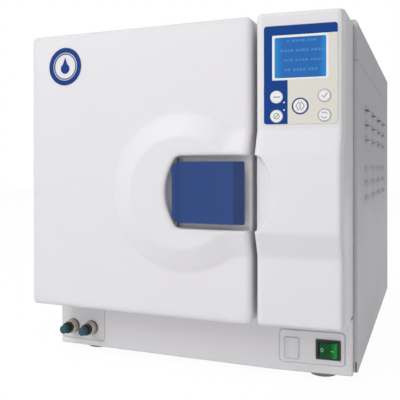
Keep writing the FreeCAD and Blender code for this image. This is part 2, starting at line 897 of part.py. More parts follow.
def front_frame():
    back = face + frame_back
    front = face + frame_front
    rounding = [0, frame_corner_radius, 0, frame_turn_radius, 0]
    block = plan_prism(frame_plan(0, back), rounding, front_bottom, front_top)
    hollow = plan_prism(frame_plan(wall, back + 1), 0, front_bottom + wall, front_top - wall)
    shell = block.cut(hollow)
    column_edge = column_left - wall
    seat = box(column_edge, front_half + 1, front - 1, back + 1, base_front_top, front_top + 1)
    shell = shell.cut(seat)
    ledge = plan_prism(frame_plan(0.5, back), 0, base_front_top - wall, base_front_top)
    plate = front_slab(column_edge - wall, front_half - wall - slide_fit, column_bottom + wall + slide_fit,
                       front_top - wall - slide_fit, back - wall, back, 0)
    post = box(column_edge - wall, column_edge, front, back, base_front_top - wall, front_top)
    shell = shell.fuse([ledge, plate, post])
    cuts = [rod(flange_radius + flange_play, Vector(chamber_x, front - 1, chamber_height),
                Vector(chamber_x, back + 1, chamber_height))]
    cuts += [hook_slot(front, front + wall, z) for z in latch_hook_heights]
    cuts += drain_tail_holes(front, front + wall)
    cuts.append(front_slab(drain_plate_left, drain_plate_right, drain_plate_bottom, drain_plate_top,
                           front - 1, front + drain_plate_thickness, plate_corner_radius))
    switch = box(column_left + bezel_left + bezel_lip, column_left + bezel_left + bezel_width - bezel_lip,
                 front - 5, back + 5, bezel_bottom + bezel_lip, bezel_bottom + bezel_height - bezel_lip)
    cuts.append(swung(switch, frame_front))
    recess = front_slab(column_left + switch_plate_left, column_left + switch_plate_left + switch_plate_width,
                        switch_plate_bottom, switch_plate_top, front - 1, front + switch_plate_thickness,
                        plate_corner_radius)
    cuts.append(swung(recess, frame_front))
    return shell.cut(cuts).removeSplitter()


def drain_plate():
    front = face + frame_front
    plate = front_slab(drain_plate_left + slide_fit, drain_plate_right - slide_fit,
                       drain_plate_bottom + slide_fit, drain_plate_top - slide_fit,
                       front, front + drain_plate_thickness, plate_corner_radius)
    return plate.cut(drain_tail_holes(front, front + drain_plate_thickness))


def drain_body(x):
    """Drain fitting body: tail through the panel, dark seat ring, barrel and stepped nose."""
    seat = face + frame_front
    barrel = seat - drain_body_length
    nose = barrel - drain_ring_length
    stem = nose - drain_cap_length + drain_cap_end
    tail = seat + drain_tail_length
    points = [(0, stem), (drain_stem_radius, stem), (drain_stem_radius, nose), (drain_ring_radius, nose),
              (drain_ring_radius, barrel), (drain_body_radius - 1, barrel),
              (drain_body_radius, barrel + 1), (drain_body_radius, seat - drain_seat_ring),
              (drain_body_radius + 1, seat - drain_seat_ring), (drain_body_radius + 1, seat),
              (drain_tail_radius, seat), (drain_tail_radius, tail), (0, tail)]
    return turned_about_y(points, 0, x, drain_height)


def drain_cap(x):
    """Turning cap on the nose of a drain fitting, with two grip flats."""
    seat = face + frame_front
    root = seat - drain_body_length - drain_ring_length - slide_fit
    tip = root - drain_cap_length
    bore = drain_stem_radius + running_fit
    inside = tip + drain_cap_end - 0.5
    points = [(0, tip), (drain_cap_radius - 1, tip), (drain_cap_radius, tip + 1), (drain_cap_radius, root),
              (bore, root), (bore, inside), (0, inside)]
    cap = turned_about_y(points, 0, x, drain_height)
    flats = []
    for side in (1, -1):
        edge = x + side * (drain_cap_radius - cap_flat)
        outside = x + side * 2 * drain_cap_radius
        flats.append(box(min(edge, outside), max(edge, outside), tip - 1, tip + cap_flat_length,
                         drain_height - drain_cap_radius, drain_height + drain_cap_radius))
    return cap.cut(flats)


def switch_plate():
    """Raised plate round the rocker switch, with a shallow pocket for the port cover."""
    front = face + frame_front
    left = column_left + switch_plate_left + slide_fit
    right = left + switch_plate_width - 2 * slide_fit
    plate = front_slab(left, right, switch_plate_bottom + slide_fit, switch_plate_top - slide_fit,
                       front - switch_plate_proud, front + switch_plate_thickness, plate_corner_radius)
    opening = box(column_left + bezel_left + bezel_lip, column_left + bezel_left + bezel_width - bezel_lip,
                  front - 5, front + 5, bezel_bottom + bezel_lip, bezel_bottom + bezel_height - bezel_lip)
    pocket = front_slab(column_left + port_left, column_left + port_left + port_width, port_bottom,
                        port_bottom + port_height, front - 2, front - switch_plate_proud + port_depth,
                        port_corner_radius)
    return swung(plate.cut([opening, pocket]), frame_front)


def port_cover():
    """Soft port cover that fills its pocket and folds out from its left edge."""
    front = face + frame_front - switch_plate_proud
    left = column_left + port_left + slide_fit
    flap = front_slab(left, left + port_width - 2 * slide_fit, port_bottom + slide_fit,
                      port_bottom + port_height - slide_fit, front - port_proud, front + port_depth,
                      port_corner_radius - slide_fit)
    groove = box(left + port_hinge_strip - groove_width / 2, left + port_hinge_strip + groove_width / 2,
                 front - port_proud - 1, front - port_proud + groove_depth, port_bottom,
                 port_bottom + port_height)
    return swung(flap.cut(groove), frame_front)


def rocker_middle():
    x = column_left + bezel_left + bezel_width / 2
    return Vector(x, face + frame_front - bezel_proud + rocker_pivot_depth, 0)


def switch_body():
    """Black bezel and body of the rocker switch, with the well the rocker turns in."""
    front = face + frame_front - bezel_proud
    seat = face + frame_front - switch_plate_proud
    left = column_left + bezel_left
    step = bezel_lip + slide_fit
    bezel = front_slab(left, left + bezel_width, bezel_bottom, bezel_bottom + bezel_height, front, seat,
                       bezel_corner_radius)
    body = box(left + step, left + bezel_width - step, seat, face + frame_front + switch_body_depth,
               bezel_bottom + step, bezel_bottom + bezel_height - step)
    middle = rocker_middle()
    z_middle = bezel_bottom + bezel_height / 2
    well = box(middle.x - switch_opening_width / 2, middle.x + switch_opening_width / 2,
               front - 1, front + switch_well_depth, z_middle - switch_opening_height / 2,
               z_middle + switch_opening_height / 2)
    return swung(bezel.fuse(body).cut(well), frame_front)


def switch_rocker():
    """Rocker with a shallow V front, tilted so that its right end stands out."""
    middle = rocker_middle()
    reach = switch_opening_width / 2 - rocker_play
    low = bezel_bottom + (bezel_height - switch_opening_height) / 2 + running_fit
    height = switch_opening_height - 2 * running_fit
    drum = rod(reach, Vector(middle.x, middle.y, low), Vector(middle.x, middle.y, low + height))
    end_depth = rocker_pivot_depth + rocker_rise
    wide = reach + 1
    behind = middle.y + 2 * rocker_pivot_depth
    front_points = [(middle.x - wide, middle.y - end_depth), (middle.x, middle.y - end_depth + rocker_hollow),
                    (middle.x + wide, middle.y - end_depth), (middle.x + wide, behind),
                    (middle.x - wide, behind)]
    front = plan_prism(front_points, 0, low - 1, low + height + 1)
    rocker = drum.common(front)
    rocker.rotate(middle, UP, -rocker_tilt)
    return swung(rocker, frame_front)


# Control column

def column_block(inset, back):
    """Column with the belt in its side outline, drawn in by inset and turned at its left edge."""
    front = face + inset
    crest = face - belt_rise + inset
    half = belt_half - inset * belt_lean
    foot = half + belt_slope
    low = column_bottom + inset
    high = front_top - inset
    points = [(back, low), (front, low), (front, belt_height - foot), (crest, belt_height - half),
              (crest, belt_height + half), (front, belt_height + foot), (front, high), (back, high)]
    soft = belt_soft_radius
    radii = [0, 0, soft, soft, soft, soft, 0, 0]
    spare = column_width / 3
    bar = side_prism(points, radii, column_left - spare, column_right + spare)
    bar = swung(bar, 0)
    keep = box(column_left + inset, column_right - inset, face - front_depth, face + 2 * front_depth,
               0, housing_top)
    return bar.common(keep)


def column_rounded():
    """Column's outer form: both long front edges rounded over the belt, then the two ends."""
    rough_back = face + frame_back + rough_margin
    block = column_block(0, rough_back)
    near = face + front_depth / 2
    right = edges_where(block, lambda b: b.XMin > column_right - 0.01 and b.YMax < near)
    block = block.makeFillet(column_corner_radius, right)
    left = edges_where(block, lambda b: b.XMax < column_left + 0.01 and b.YMax < near)
    block = block.makeFillet(column_left_radius, left)
    ends = edges_where(block, lambda b: (b.ZMin > front_top - 0.01 or b.ZMax < column_bottom + 0.01)
                       and b.YMin < rough_back - 1)
    block = block.makeFillet(column_end_radius, ends)
    trim = box(column_left - 1, column_right + 1, face + frame_back, face + 2 * front_depth, 0, housing_top)
    return block.cut(trim)


def key_cutters(place):
    x, z, radius = place
    front = face
    pocket = rod(radius + key_play, Vector(column_left + x, front - 1, z),
                 Vector(column_left + x, front + key_pocket, z))
    hole = rod(key_stem_radius + running_fit, Vector(column_left + x, front, z),
               Vector(column_left + x, front + wall + 1, z))
    return swung(pocket.fuse(hole), 0)


def board_posts():
    posts = []
    for x in (overlay_left + post_inset, overlay_left + overlay_width - post_inset):
        for z in (overlay_bottom + post_radius, overlay_top - post_radius):
            posts.append(rod(post_radius, Vector(column_left + x, face + wall / 2, z),
                             Vector(column_left + x, face + board_depth, z)))
    return [swung(post, 0) for post in posts]


def control_column():
    shell = column_rounded().cut(column_block(wall, face + frame_back + rough_margin))
    shell = shell.fuse(scoop(wall).common(column_rounded())).cut(scoop(0))
    shell = shell.fuse(board_posts())
    screen = box(column_left + screen_left + screen_lip, column_left + screen_left + screen_width - screen_lip,
                 face - 1, face + wall + 1, screen_bottom + screen_lip,
                 screen_bottom + screen_height - screen_lip)
    notch = box(column_left - 1, column_left + wall + slide_fit, face + frame_back - wall - slide_fit,
                face + frame_back + 1, 0, housing_top)
    cuts = [swung(screen, 0), notch]
    cuts += [key_cutters(place) for place in key_places.values()]
    return shell.cut(cuts).removeSplitter()


def panel_overlay():
    left = column_left + overlay_left
    plate = front_slab(left, left + overlay_width, overlay_bottom, overlay_top,
                       face - overlay_thickness, face, overlay_corner_radius)
    screen = front_slab(column_left + screen_left, column_left + screen_left + screen_width,
                        screen_bottom, screen_bottom + screen_height, face - 2, face + 1,
                        screen_corner_radius)
    holes = [screen]
    for x, z, radius in key_places.values():
        holes.append(rod(radius + key_play, Vector(column_left + x, face - 2, z),
                         Vector(column_left + x, face + 1, z)))
    return swung(plate.cut(holes), 0)


def display_window():
    left = column_left + screen_left + screen_play
    lens = front_slab(left, left + screen_width - 2 * screen_play, screen_bottom + screen_play,
                      screen_bottom + screen_height - screen_play, face - overlay_thickness, face,
                      screen_corner_radius - screen_play)
    return swung(lens, 0)


def display_module():
    left = column_left + screen_left
    module = box(left + 1, left + screen_width - 1, face + wall + slide_fit, face + board_depth,
                 screen_bottom + 1, screen_bottom + screen_height - 1)
    return swung(module, 0)


def control_board():
    left = column_left + overlay_left
    board = box(left, left + overlay_width, face + board_depth, face + board_depth + board_thickness,
                overlay_bottom - 2, overlay_top + 2)
    return swung(board, 0)


def key(place):
    """Round key with its stem, its face just proud of the overlay."""
    x, z, radius = place
    front = face - overlay_thickness - key_proud
    points = [(0, front), (radius - key_bevel, front), (radius, front + key_bevel),
              (radius, front + key_thickness),
              (key_stem_radius, front + key_thickness), (key_stem_radius, face + key_stem_end),
              (0, face + key_stem_end)]
    return swung(turned_about_y(points, 0, column_left + x, z), 0)


# Housing

def side_panel(side):
    """Side sheet with folded front and rear flanges, a joggled top lip and hooded louvres."""
    outer = half_width
    inner = half_width - sheet
    edge = half_width - flange_width
    radii = [0, fold_radius, fold_radius, 0, 0, fold_radius - sheet, fold_radius - sheet, 0]
    points = [(edge, housing_front), (outer, housing_front), (outer, housing_back), (edge, housing_back),
              (edge, housing_back - sheet), (inner, housing_back - sheet),
              (inner, housing_front + sheet), (edge, housing_front + sheet)]
    panel = plan_prism(points, radii, underside, seam_height)
    start = housing_front + lip_inset
    end = housing_back - lip_inset
    lip = box(inner - sheet, inner - shell_gap, start, end, seam_height - lip_down, seam_height + lip_up)
    bend = box(inner - shell_gap, inner, start, end, seam_height - lip_down, seam_height)
    hoods = []
    slots = []
    for column in range(louvre_columns):
        middle = face + louvre_first + column * louvre_pitch
        for row in louvre_rows:
            hoods.append(louvre_hood(middle, row))
            slots.append(box(inner - 1, outer + 1, middle - louvre_length / 2 + louvre_taper,
                             middle + louvre_length / 2 - louvre_taper, row,
                             row + louvre_height - louvre_skin / 2 - louvre_skin))
    relief = box(edge - 1, inner, housing_front - 1, housing_front + sheet + 1,
                 underside - 1, underside + flange_width)
    panel = panel.fuse([lip, bend]).cut(slots + [relief]).fuse(hoods).removeSplitter()
    if side < 0:
        panel = panel.mirror(Vector(0, 0, 0), RIGHT)
    return panel


def louvre_hood(middle, row):
    """Quarter-round hood pressed out of the side, tapered at both ends and open downwards."""
    half = louvre_length / 2
    flat = half - louvre_taper
    skin = louvre_skin
    outer = half_width - sheet
    height = louvre_height + sheet
    points = [(0, middle - half), (height, middle - flat), (height, middle + flat), (0, middle + half),
              (0, middle + half - 2 * skin), (height - skin, middle + flat - skin / 2),
              (height - skin, middle - flat + skin / 2), (0, middle - half + 2 * skin)]
    wire = rounded_wire([Vector(outer + r, y, row) for r, y in points], 0)
    hood = Part.Face(wire).revolve(Vector(outer, 0, row), BACK, -90)
    return hood


def top_cover():
    outer = half_width
    inner = half_width - sheet
    low = seam_height + seam_gap
    top = housing_top
    radius = fold_radius + 1
    points = [Vector(-outer, housing_front, low), Vector(-outer, housing_front, top),
              Vector(outer, housing_front, top), Vector(outer, housing_front, low),
              Vector(inner, housing_front, low), Vector(inner, housing_front, top - sheet),
              Vector(-inner, housing_front, top - sheet), Vector(-inner, housing_front, low)]
    radii = [0, radius, radius, 0, 0, radius - sheet, radius - sheet, 0]
    cover = Part.Face(rounded_wire(points, radii)).extrude(BACK * housing_depth)
    lips = []
    for y in (housing_front, housing_back - sheet):
        lips.append(box(-inner, inner, y, y + sheet, top - flange_width, top - sheet))
        for side in (-1, 1):
            edge = side * (half_width - flange_width)
            lips.append(box(min(edge, side * inner), max(edge, side * inner), y, y + sheet, low, top - sheet))
    mouth = flat_slab(*lid_area(lid_play), top - sheet - 1, top + 1, lid_corner_radius + lid_play)
    return cover.fuse(lips).cut(mouth).removeSplitter()


def lid_area(grow):
    margin = neck_margin - lid_lap - grow
    return (tank_left + margin, tank_right - margin, face + tank_start + margin, face + tank_end - margin)


def tank_lid():
    x0, x1, y0, y1 = lid_area(0)
    top = housing_top
    lid = flat_slab(x0, x1, y0, y1, top - lid_thickness, top, lid_corner_radius)
    notch = rod(lid_notch_radius, Vector(tank_x, y0 - lid_notch_radius / 2, top - lid_thickness - 1),
                Vector(tank_x, y0 - lid_notch_radius / 2, top + 1))
    return lid.cut(notch)


def water_tank():
    """Upright tank with an open neck that the lid rests on."""
    x0, x1 = tank_left, tank_right
    y0, y1 = face + tank_start, face + tank_end
    z0 = underside + sheet
    inner_radius = tank_corner_radius - tank_wall
    body = flat_slab(x0, x1, y0, y1, z0, tank_top, tank_corner_radius)
    neck = flat_slab(x0 + neck_margin, x1 - neck_margin, y0 + neck_margin, y1 - neck_margin,
                     tank_top - 1, housing_top - lid_thickness, tank_corner_radius)
    hollow = flat_slab(x0 + tank_wall, x1 - tank_wall, y0 + tank_wall, y1 - tank_wall,
                       z0 + tank_wall, tank_top - tank_wall, inner_radius)
    throat = flat_slab(x0 + neck_margin + tank_wall, x1 - neck_margin - tank_wall,
                       y0 + neck_margin + tank_wall, y1 - neck_margin - tank_wall,
                       tank_top - 2 * tank_wall, housing_top + 1, inner_radius)
    return body.fuse(neck).cut([hollow, throat])


def base_tray():
    """Bottom sheet with upturned edges and rows of air slots."""
    inner = half_width - sheet - slide_fit
    front = housing_front + sheet + slide_fit
    back = housing_back - sheet - slide_fit
    top = underside + flange_width
    outer = flat_slab(-inner, inner, front, back, underside, top, fold_radius)
    hollow = flat_slab(-inner + sheet, inner - sheet, front + sheet, back - sheet, underside + sheet,
                       top + 1, fold_radius - sheet)
    slots = []
    for i in range(floor_slots):
        y = face + floor_slot_start + i * floor_slot_pitch
        slots.append(flat_slab(tank_x - floor_slot_half, tank_x + floor_slot_half, y, y + floor_slot_width,
                               underside - 1, underside + sheet + 1, slot_end * floor_slot_width))
    return outer.cut(hollow).cut(slots)


def fan_grille():
    """Arc slots in rings round the fan's middle."""
    slots = []
    front = housing_back - 1
    back = housing_back + sheet + 1
    for ring in range(grille_rings):
        inner = grille_first + ring * grille_pitch
        slots.append(ring_y(inner + grille_slot, inner, front, back, fan_x, fan_height))
    half = fan_strut / 2
    low = fan_height - fan_bore
    high = fan_height + fan_bore
    spokes = [box(fan_x - half, fan_x + half, front - 1, back + 1, low, high),
              box(fan_x - fan_bore, fan_x + fan_bore, front - 1, back + 1, fan_height - half, fan_height + half)]
    return [slot.cut(spokes) for slot in slots]


def rear_panel():
    edge = half_width - fold_radius
    front = housing_back - 1
    back = housing_back + sheet + 1
    plate = front_slab(-edge, edge, underside, housing_top - fold_radius - 1, housing_back,
                       housing_back + sheet, fold_radius + 1)
    cuts = fan_grille()
    half_x = inlet_body_half + slide_fit
    half_z = inlet_body_rise + slide_fit
    cuts.append(front_slab(inlet_x - half_x, inlet_x + half_x, inlet_height - half_z, inlet_height + half_z,
                           front, back, 2))
    cuts.append(rod(valve_stem_radius + slide_fit, Vector(valve_x, front, valve_height),
                    Vector(valve_x, back, valve_height)))
    cuts.append(rod(barb_radius + 1 + slide_fit, Vector(barb_x, front, barb_height),
                    Vector(barb_x, back, barb_height)))
    for i in range(rear_slots):
        x = rear_slot_first - half_width + i * rear_slot_pitch
        cuts.append(front_slab(x, x + rear_slot_width, rear_slot_bottom, rear_slot_bottom + rear_slot_length,
                               front, back, slot_end * rear_slot_width))
    return plate.cut(cuts)


def foot(x, depth):
    """Round foot with a rounded sole edge."""
    points = [Vector(0, 0, 0), Vector(foot_radius, 0, 0), Vector(foot_radius, 0, underside),
              Vector(0, 0, underside)]
    wire = rounded_wire(points, [0, foot_edge_radius, 0, 0])
    out = Part.Face(wire).revolve(Vector(0, 0, 0), UP, 360)
    out.translate(Vector(x, face + depth, 0))
    return out


# Pressure vessel

def chamber():
    front = face + frame_back
    end = face + chamber_end
    inner = chamber_radius
    outer = chamber_radius + chamber_wall
    points = [(inner, front), (outer, front), (outer, end), (0, end), (0, end - chamber_wall),
              (inner, end - chamber_wall)]
    radii = [0, 0, chamber_dish, 0, 0, chamber_dish - chamber_wall]
    return turned_about_y(points, radii, chamber_x, chamber_height)


def chamber_flange():
    front = face + frame_front
    return ring_y(flange_radius, chamber_radius, front, face + frame_back, chamber_x, chamber_height)


def heater_band():
    inner = chamber_radius + chamber_wall + shell_gap
    return ring_y(inner + heater_thickness, inner, face + heater_start, face + heater_end,
                  chamber_x, chamber_height)


def jacket_inner():
    return chamber_radius + chamber_wall + heater_thickness + 2 * shell_gap


def insulation_jacket():
    inner = jacket_inner()
    outer = inner + jacket_thickness
    start = face + jacket_start
    end = face + chamber_end + shell_gap
    points = [(inner, start), (outer, start), (outer, end + jacket_thickness), (0, end + jacket_thickness),
              (0, end), (inner, end)]
    radii = [0, 0, jacket_edge_radius, 0, 0, 0]
    return turned_about_y(points, radii, chamber_x, chamber_height)


def chamber_stand():
    """Folded stand: a floor strip and two upright saddles under the jacket."""
    low = underside + sheet
    radius = jacket_inner() + jacket_thickness + slide_fit
    first, last = stand_places
    floor = box(chamber_x - stand_half_width, chamber_x + stand_half_width, face + first,
                face + last + stand_thickness, low, low + stand_thickness)
    saddles = []
    for place in stand_places:
        saddle = box(chamber_x - stand_half_width, chamber_x + stand_half_width, face + place,
                     face + place + stand_thickness, low, chamber_height - saddle_drop)
        bed = rod(radius, Vector(chamber_x, face + place - 1, chamber_height),
                  Vector(chamber_x, face + place + stand_thickness + 1, chamber_height))
        saddles.append(saddle.cut(bed))
    reach = stand_half_width - stand_rim
    window = box(chamber_x - reach, chamber_x + reach, face + first + stand_rim, face + last - stand_rim,
                 low - 1, low + stand_thickness + 1)
    return floor.cut(window).fuse(saddles)


def tray_rack():
    """Two side sheets with ledges, tied by cross strips, standing on the chamber wall."""
    side = rack_half_width + rack_sheet
    foot_z = chamber_height - math.sqrt(chamber_radius ** 2 - side ** 2) + slide_fit
    top = chamber_height + rack_top
    y0 = face + rack_start
    y1 = face + rack_end
    pieces = []
    for sign in (1, -1):
        inner = chamber_x + sign * rack_half_width
        outer = chamber_x + sign * side
        pieces.append(box(min(inner, outer), max(inner, outer), y0, y1, foot_z, top))
        for level in tray_levels.values():
            end = inner - sign * ledge_width
            z = chamber_height + level
            pieces.append(box(min(inner, end), max(inner, end), y0, y1, z - rack_sheet, z))
    tie_z = foot_z + rack_foot_rise
    for y in (y0 + tie_inset, y1 - tie_inset - tie_width):
        pieces.append(box(chamber_x - rack_half_width, chamber_x + rack_half_width, y, y + tie_width,
                          tie_z, tie_z + rack_sheet))
    return pieces[0].fuse(pieces[1:]).removeSplitter()


def tray(level):
    """Shallow pan with a row of drain slots."""
    half = rack_half_width - tray_play
    z = chamber_height + level
    y0 = face + rack_start + tray_end_play
    y1 = face + rack_end - tray_end_play
    radius = tray_corner_radius
    pan = flat_slab(chamber_x - half, chamber_x + half, y0, y1, z, z + tray_depth, radius)
    hollow = flat_slab(chamber_x - half + tray_wall, chamber_x + half - tray_wall, y0 + tray_wall,
                       y1 - tray_wall, z + tray_wall, z + tray_depth + 1, radius - tray_wall)
    slots = []
    pitch = (y1 - y0) / tray_slots
    for i in range(tray_slots):
        y = y0 + (i + 0.5) * pitch
        slots.append(flat_slab(chamber_x - half / 2, chamber_x + half / 2, y, y + tray_slot_width,
                               z - 1, z + tray_wall + 1, slot_end * tray_slot_width))
    return pan.cut([hollow] + slots)


# Inner and rear units

def fan_frame():
    """Fan frame with two struts that carry the hub plate and its stub shaft."""
    back = housing_back
    half = fan_size / 2
    front = back - fan_strut
    block = front_slab(fan_x - half, fan_x + half, fan_height - half, fan_height + half,
                       back - fan_depth, back, fan_strut)
    bore = rod(fan_bore, Vector(fan_x, back - fan_depth - 1, fan_height), Vector(fan_x, back + 1, fan_height))
    reach = fan_bore + 1
    wide = fan_strut / 2
    struts = [box(fan_x - reach, fan_x + reach, front, back, fan_height - wide, fan_height + wide),
              box(fan_x - wide, fan_x + wide, front, back, fan_height - reach, fan_height + reach),
              rod(fan_hub_radius, Vector(fan_x, front, fan_height), Vector(fan_x, back, fan_height)),
              rod(fan_stub_radius, Vector(fan_x, back - fan_stub_length, fan_height),
                  Vector(fan_x, back, fan_height))]
    return block.cut(bore).fuse(struts).removeSplitter()


def fan_rotor():
    """Hub with raked blades, turning on the frame's stub shaft."""
    front = housing_back - fan_depth + 1
    back = housing_back - fan_strut - 1
    hub = rod(fan_hub_radius, Vector(fan_x, front, fan_height), Vector(fan_x, back, fan_height))
    blades = []
    length = fan_bore - fan_tip_gap
    half = fan_blade_sheet / 2
    for i in range(fan_blades):
        blade = box(fan_x - half, fan_x + half, front + 2, back - 1, fan_height + fan_hub_radius - 3,
                    fan_height + length - 1)
        middle = Vector(fan_x, (front + back) / 2, fan_height)
        blade.rotate(middle, UP, fan_rake)
        blade.rotate(middle, BACK, i * 360.0 / fan_blades)
        blades.append(blade)
    limit = rod(length, Vector(fan_x, front, fan_height), Vector(fan_x, back, fan_height))
    bore = rod(fan_stub_radius + running_fit, Vector(fan_x, front + 3, fan_height),
               Vector(fan_x, back + 1, fan_height))
    return hub.fuse(blades).common(limit).cut(bore).removeSplitter()


def mains_inlet():
    """Mains socket: flange, body through the rear panel, recess and three flat pins."""
    back = housing_back + sheet
    flange = front_slab(inlet_x - inlet_width / 2, inlet_x + inlet_width / 2, inlet_height - inlet_tall / 2,
                        inlet_height + inlet_tall / 2, back, back + inlet_rim, inlet_rim + 1)
    body = front_slab(inlet_x - inlet_body_half, inlet_x + inlet_body_half, inlet_height - inlet_body_rise,
                      inlet_height + inlet_body_rise, back - inlet_body_depth, back, 2)
    recess = front_slab(inlet_x - inlet_recess_half, inlet_x + inlet_recess_half,
                        inlet_height - inlet_recess_rise, inlet_height + inlet_recess_rise,
                        back - inlet_recess_depth, back + inlet_rim + 1, [1, 1, 4, 4])
    pins = []
    for x, z in inlet_pins:
        pins.append(box(inlet_x + x - 1, inlet_x + x + 1, back - inlet_recess_depth - 1, back - 1,
                        inlet_height + z - 2, inlet_height + z + 2))
    return flange.fuse(body).cut(recess).fuse(pins)


def safety_valve():
    """Relief valve through the rear panel, with a hexagon and a knurled cap."""
    back = housing_back + sheet
    neck = valve_stem_radius - 2
    hexagon_end = back + valve_hexagon
    cap_end = hexagon_end + valve_cap_length
    points = [(0, back - valve_stem_length), (neck, back - valve_stem_length),
              (neck, back - valve_stem_length / 3), (valve_stem_radius, back - valve_stem_length / 3),
              (valve_stem_radius, back), (0, back)]
    stem = turned_about_y(points, 0, valve_x, valve_height)
    corners = []
    reach = valve_stem_radius + valve_hexagon_proud
    for i in range(6):
        angle = math.radians(60 * i)
        corners.append(Vector(valve_x + reach * math.cos(angle), back, valve_height + reach * math.sin(angle)))
    corners.append(corners[0])
    hexagon = Part.Face(Part.makePolygon(corners)).extrude(BACK * valve_hexagon)
    cap = turned_about_y([(0, hexagon_end), (valve_cap_radius, hexagon_end),
                          (valve_cap_radius, cap_end - valve_bevel),
                          (valve_cap_radius - valve_bevel, cap_end), (0, cap_end)],
                         0, valve_x, valve_height)
    return stem.fuse([hexagon, cap]).removeSplitter()


def overflow_barb():
    """Hose tail of the tank's overflow, with a collar against the rear panel."""
    back = housing_back + sheet
    root = back - barb_root
    tip = housing_back + rear_reach
    collar = barb_radius + barb_collar_proud
    points = [(barb_bore_radius, root), (barb_radius + 1, root), (barb_radius + 1, back),
              (collar, back), (collar, back + barb_collar), (barb_radius, back + barb_collar),
              (barb_radius, tip), (barb_bore_radius, tip)]
    return turned_about_y(points, 0, barb_x, barb_height)


def water_pump():
    """Pump motor lying on its foot, with a square head and two ports."""
    low = underside + sheet
    floor = low + pump_foot
    y0 = face + pump_start
    head_front = y0 - pump_head_depth
    axis_z = floor + pump_head_half
    middle = Vector(tank_x, y0, axis_z)
    motor = rod(pump_radius, middle, middle + BACK * pump_length)
    head = box(tank_x - pump_head_half, tank_x + pump_head_half, head_front, y0,
               floor, floor + 2 * pump_head_half)
    wide = pump_head_half + 2
    plate = box(tank_x - wide, tank_x + wide, head_front, y0 + pump_length - pump_foot, low, floor)
    rise = pump_head_half - pump_radius + pump_foot
    web = box(tank_x - pump_web_half, tank_x + pump_web_half, y0, y0 + pump_length - pump_foot,
              floor, floor + rise)
    port_z = axis_z + pump_head_half / 2
    ports = []
    for side in (-1, 1):
        x = tank_x + side * pump_head_half / 2
        ports.append(rod(pump_port_radius, Vector(x, head_front, port_z),
                         Vector(x, head_front - pump_port_length, port_z)))
    return motor.fuse([head, plate, web] + ports).removeSplitter()


def valve_block():
    """Manifold with three solenoid coils on top and three ports in front."""
    low = underside + sheet
    top = low + block_height
    y0 = face + block_start
    middle = y0 + block_depth / 2
    block = box(tank_x - block_half, tank_x + block_half, y0, y0 + block_depth, low, top)
    parts = []
    for step in (-1, 0, 1):
        x = tank_x + step * coil_pitch
        parts.append(rod(coil_radius, Vector(x, middle, top), Vector(x, middle, top + coil_length)))
        parts.append(rod(block_port_radius, Vector(x, y0 - block_depth / 2, low + block_height / 2),
                         Vector(x, y0, low + block_height / 2)))
    return block.fuse(parts).removeSplitter()


def chamber_nodes():
    nodes = {
        "chamber": chamber(),
        "chamber_flange": chamber_flange(),
        "heater_band": heater_band(),
        "insulation_jacket": insulation_jacket(),
        "chamber_stand": chamber_stand(),
        "tray_rack": tray_rack(),
    }
    for name, level in tray_levels.items():
        nodes[name] = tray(level)
    return nodes


def housing_nodes():
    nodes = {
        "base_tray": base_tray(),
        "side_panel_left": side_panel(-1),
        "side_panel_right": side_panel(1),
        "top_cover": top_cover(),
        "rear_panel": rear_panel(),
        "water_tank": water_tank(),
        "tank_lid": tank_lid(),
        "fan_frame": fan_frame(),
        "fan_rotor": fan_rotor(),
        "mains_inlet": mains_inlet(),
        "safety_valve": safety_valve(),
        "overflow_barb": overflow_barb(),
        "water_pump": water_pump(),
        "valve_block": valve_block(),
    }
    x = half_width - foot_inset_x
    nodes["foot_front_left"] = foot(-x, foot_front)
    nodes["foot_front_right"] = foot(x, foot_front)
    nodes["foot_rear_left"] = foot(-x, foot_rear)
    nodes["foot_rear_right"] = foot(x, foot_rear)
    return nodes


def front_nodes():
    left, right = drain_places
    nodes = {
        "front_frame": front_frame(),
        "drain_plate": drain_plate(),
        "drain_body_left": drain_body(left),
        "drain_body_right": drain_body(right),
        "drain_cap_left": drain_cap(left),
        "drain_cap_right": drain_cap(right),
        "switch_plate": switch_plate(),
        "switch_body": switch_body(),
        "switch_rocker": switch_rocker(),
        "port_cover": port_cover(),
        "control_column": control_column(),
        "panel_overlay": panel_overlay(),
        "display_window": display_window(),
        "display_module": display_module(),
        "control_board": control_board(),
        "latch_strikes": latch_strikes(),
        "lock_solenoid": lock_solenoid(),
        "lock_bolt": lock_bolt(),
    }
    for name, place in key_places.items():
        nodes[name] = key(place)
    return nodes


def door_nodes():
    frame_face = face + frame_front
    return {
        "door_cover": door_cover(),
        "door_back_plate": door_back_plate(),
        "pressure_disc": pressure_disc(),
        "door_gasket": door_gasket(),
        "hinge_frame_leaf": hinge_leaf(frame_face - hinge_leaf_thickness, frame_face, False,
                                       hinge_pin_radius + running_fit / 2),
        "hinge_door_leaf": hinge_leaf(back_plate_rear, back_plate_rear + hinge_leaf_thickness, True,
                                      hinge_pin_radius + running_fit),
        "hinge_pins": hinge_pins(),
        "door_handle": door_handle(),
        "handle_shaft": handle_shaft(),
        "latch_bar": latch_bar(),
    }


def main():
    nodes = {}
    nodes.update(chamber_nodes())
    nodes.update(housing_nodes())
    nodes.update(front_nodes())
    nodes.update(door_nodes())
    for name, shape in nodes.items():
        shape.exportStep("parts/" + name + ".step")
    print(len(nodes), "nodes")


main()
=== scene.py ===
import json
import math

import bmesh
import bpy
from mathutils import Matrix, Vector
from mathutils.geometry import tessellate_polygon


